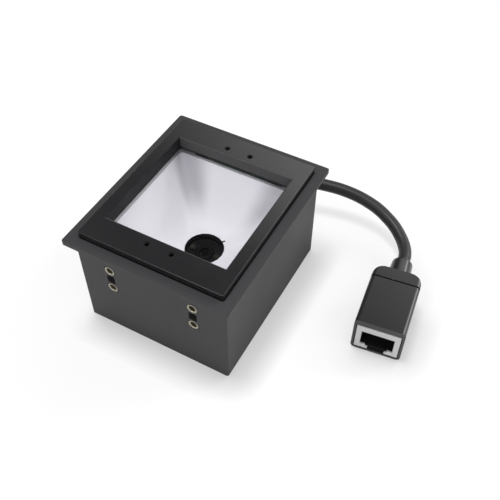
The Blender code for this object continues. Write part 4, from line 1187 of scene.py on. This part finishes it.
@dataclass(frozen=True)
class Card:
    """A soft light card.

    Args:
        name: The light's name.
        place: Its middle, in metres.
        target: The point that it faces.
        size: Its width and height.
        power: Its power in watts.
    """

    name: str
    place: Point
    target: Point
    size: tuple[float, float]
    power: float

    def build(self) -> None:
        """Add the light to the scene."""
        data = bpy.data.lights.new(self.name, "AREA")
        data.shape = "RECTANGLE"
        data.size, data.size_y = self.size
        data.energy = self.power
        light = bpy.data.objects.new(self.name, data)
        bpy.context.scene.collection.objects.link(light)
        light.location = self.place
        aim = Vector(self.target) - Vector(self.place)
        light.rotation_euler = aim.to_track_quat("-Z", "Y").to_euler()


@dataclass(frozen=True)
class SkyPatch:
    """A part of the surround that has more or less light than the rest.

    Args:
        light: Radiance added in the patch, negative for a dark card.
        fades: Axes, each with the two parts of the direction between which the patch fades in.
    """

    light: float
    fades: tuple[tuple[str, float, float], ...]

    def radiance(self, parts: dict[str, Signal]) -> Signal:
        """Work out what the patch adds in each direction.

        Args:
            parts: The direction's parts by axis.

        Returns:
            The added radiance.
        """
        added = self.light
        for letter, start, end in self.fades:
            added = added * parts[letter].ramp(start, end)
        return added


@dataclass(frozen=True)
class Surround:
    """The studio's even light with patches in it. The camera itself sees white.

    Args:
        base: Radiance all round.
        patches: Where it differs.
    """

    base: float
    patches: tuple[SkyPatch, ...]

    def build(self) -> None:
        """Surround the scene with the light."""
        world = bpy.data.worlds.new("studio_white")
        world.use_nodes = True
        bpy.context.scene.world = world
        graph = Graph(world.node_tree)
        heading = graph.signal("ShaderNodeTexCoord", output="Generated")
        split = graph.node("ShaderNodeSeparateXYZ", {0: heading})
        parts = {letter: Signal(graph, split.outputs[letter]) for letter in "XYZ"}
        total = graph.signal("ShaderNodeValue")
        total.socket.default_value = self.base
        for patch in self.patches:
            total = total + patch.radiance(parts)
        light = graph.signal("ShaderNodeBackground", {"Strength": total})
        white = graph.signal("ShaderNodeBackground", {"Color": opaque(WHITE), "Strength": 1.0})
        seen = graph.signal("ShaderNodeLightPath", output="Is Camera Ray")
        mixed = graph.signal("ShaderNodeMixShader", {0: seen, 1: light, 2: white})
        graph.node("ShaderNodeOutputWorld", {"Surface": mixed})


@dataclass(frozen=True)
class Floor:
    """The white floor, which glows a little for the camera alone.

    Args:
        white: Its colour, with which it lights the pieces from below.
        seen: What the camera sees of that colour.
        glow: Radiance that the camera sees besides.
        shade: Share of the light that the camera misses where a piece stands on the floor.
        near: How far from a piece that shade reaches, in metres.
        lean: Direction from which the soft light comes that the shade stands for.
        reach: Half of its width.
        drop: How far it lies below the reader.
    """

    white: float
    seen: float
    glow: float
    shade: float
    near: float
    lean: Point
    reach: float = 12.0
    drop: float = 0.0002

    def build(self) -> None:
        """Lay the floor."""
        mesh = bpy.data.meshes.new("studio_floor")
        shape = bmesh.new()
        bmesh.ops.create_grid(shape, x_segments=1, y_segments=1, size=self.reach)
        shape.to_mesh(mesh)
        shape.free()
        floor = bpy.data.objects.new("studio_floor", mesh)
        floor.location.z = -self.drop
        bpy.context.scene.collection.objects.link(floor)
        graph = Shader("studio_white_floor")
        lean = graph.signal("ShaderNodeCombineXYZ", dict(zip("XYZ", self.lean)))
        openness = graph.signal("ShaderNodeAmbientOcclusion", {"Distance": self.near, "Normal": lean}, "AO",
                                samples=16)
        kept = openness * self.shade + (1.0 - self.shade)
        plain = graph.signal("ShaderNodeBsdfDiffuse", {"Color": opaque((self.white,) * 3)})
        shaded = graph.signal("ShaderNodeBsdfDiffuse", {"Color": graph.mix(kept, BLACK, (self.seen,) * 3)})
        glow = graph.signal("ShaderNodeEmission", {"Color": opaque(WHITE), "Strength": kept * self.glow})
        both = graph.signal("ShaderNodeAddShader", {0: shaded, 1: glow})
        seen = graph.signal("ShaderNodeLightPath", output="Is Camera Ray")
        mesh.materials.append(graph.finish(graph.blend(seen, plain, both)))


@dataclass(frozen=True)
class PhotoCamera:
    """The camera as the photograph has it.

    Args:
        eye: Its place.
        right: Its direction to the right.
        up: Its direction upwards.
        back: Its direction backwards.
        lens: Focal length on a 36 mm sensor.
    """

    eye: Point
    right: Point
    up: Point
    back: Point
    lens: float

    def build(self) -> None:
        """Place the camera."""
        data = bpy.data.cameras.new("photo_camera")
        data.sensor_width = 36.0
        data.sensor_fit = "HORIZONTAL"
        data.lens = self.lens
        data.clip_start, data.clip_end = 0.01, 20.0
        camera = bpy.data.objects.new("photo_camera", data)
        bpy.context.scene.collection.objects.link(camera)
        turn = Matrix((self.right, self.up, self.back)).transposed().to_4x4()
        camera.matrix_world = Matrix.Translation(self.eye) @ turn
        bpy.context.scene.camera = camera


@dataclass(frozen=True)
class Studio:
    """The camera, the lights and the white floor.

    Args:
        camera: The photograph's camera.
        surround: The light all round.
        floor: What the reader stands on.
        cards: The lights above it.
    """

    camera: PhotoCamera
    surround: Surround
    floor: Floor
    cards: tuple[Card, ...]

    def build(self) -> None:
        """Build the whole studio."""
        self.camera.build()
        self.surround.build()
        self.floor.build()
        for card in self.cards:
            card.build()
        bpy.context.scene.view_settings.view_transform = "Standard"
        log.info("studio: %d light cards", len(self.cards))


STUDIO = Studio(
    camera=PhotoCamera(
        eye=(0.10575282, -0.15885041, 0.23937194),
        right=(0.87858965, 0.47754689, 0.00540382),
        up=(-0.36503099, 0.66420105, 0.65237209),
        back=(0.30794904, -0.57513993, 0.75787958),
        lens=52.4023,
    ),
    surround=Surround(
        base=0.87,
        patches=(
            SkyPatch(-0.5, (("Z", 0.76, 0.92),)),
            SkyPatch(-0.69, (("X", -0.02, -0.16), ("Y", 0.34, 0.46))),
            SkyPatch(1.9, (("Y", 0.57, 0.68), ("Z", 0.48, 0.58), ("X", -0.62, -0.24))),
            SkyPatch(7.0, (("Y", 0.50, 0.58), ("Z", 0.25, 0.35), ("Z", 0.74, 0.64), ("X", 0.30, 0.42),
                           ("X", 0.76, 0.66))),
            SkyPatch(5.0, (("X", -0.50, -0.42), ("X", -0.08, -0.16), ("Y", -0.60, -0.68), ("Z", 0.40, 0.46))),
            SkyPatch(0.9, (("X", 0.35, 0.8),)),
        ),
    ),
    floor=Floor(white=0.85, seen=0.30, glow=0.61, shade=0.55, near=0.014, lean=(-0.7, 0.7, 0.2)),
    cards=(
        Card("key_card", (-0.158, -0.014, 1.290), (0.0, 0.0, 0.03), (0.28, 0.28), 10.0),
    ),
)


def main() -> None:
    """Build the picture."""
    STUDIO.build()
    wardrobe = Wardrobe()
    wardrobe.dress_nodes()
    LEAD.build(wardrobe)
    InsertThreads().build(wardrobe)
    BoardParts().build(wardrobe)
    recess_screws("cover", head=0.0040, depth=0.0008, up=False)
    recess_screws("clamp", head=0.0040, depth=0.0008, up=False)
    recess_screws("decoder", head=0.0034, depth=0.0007, up=True)
    for edge in EDGES:
        edge.apply()
    smooth_facets()


if __name__ == "__main__":
    main()
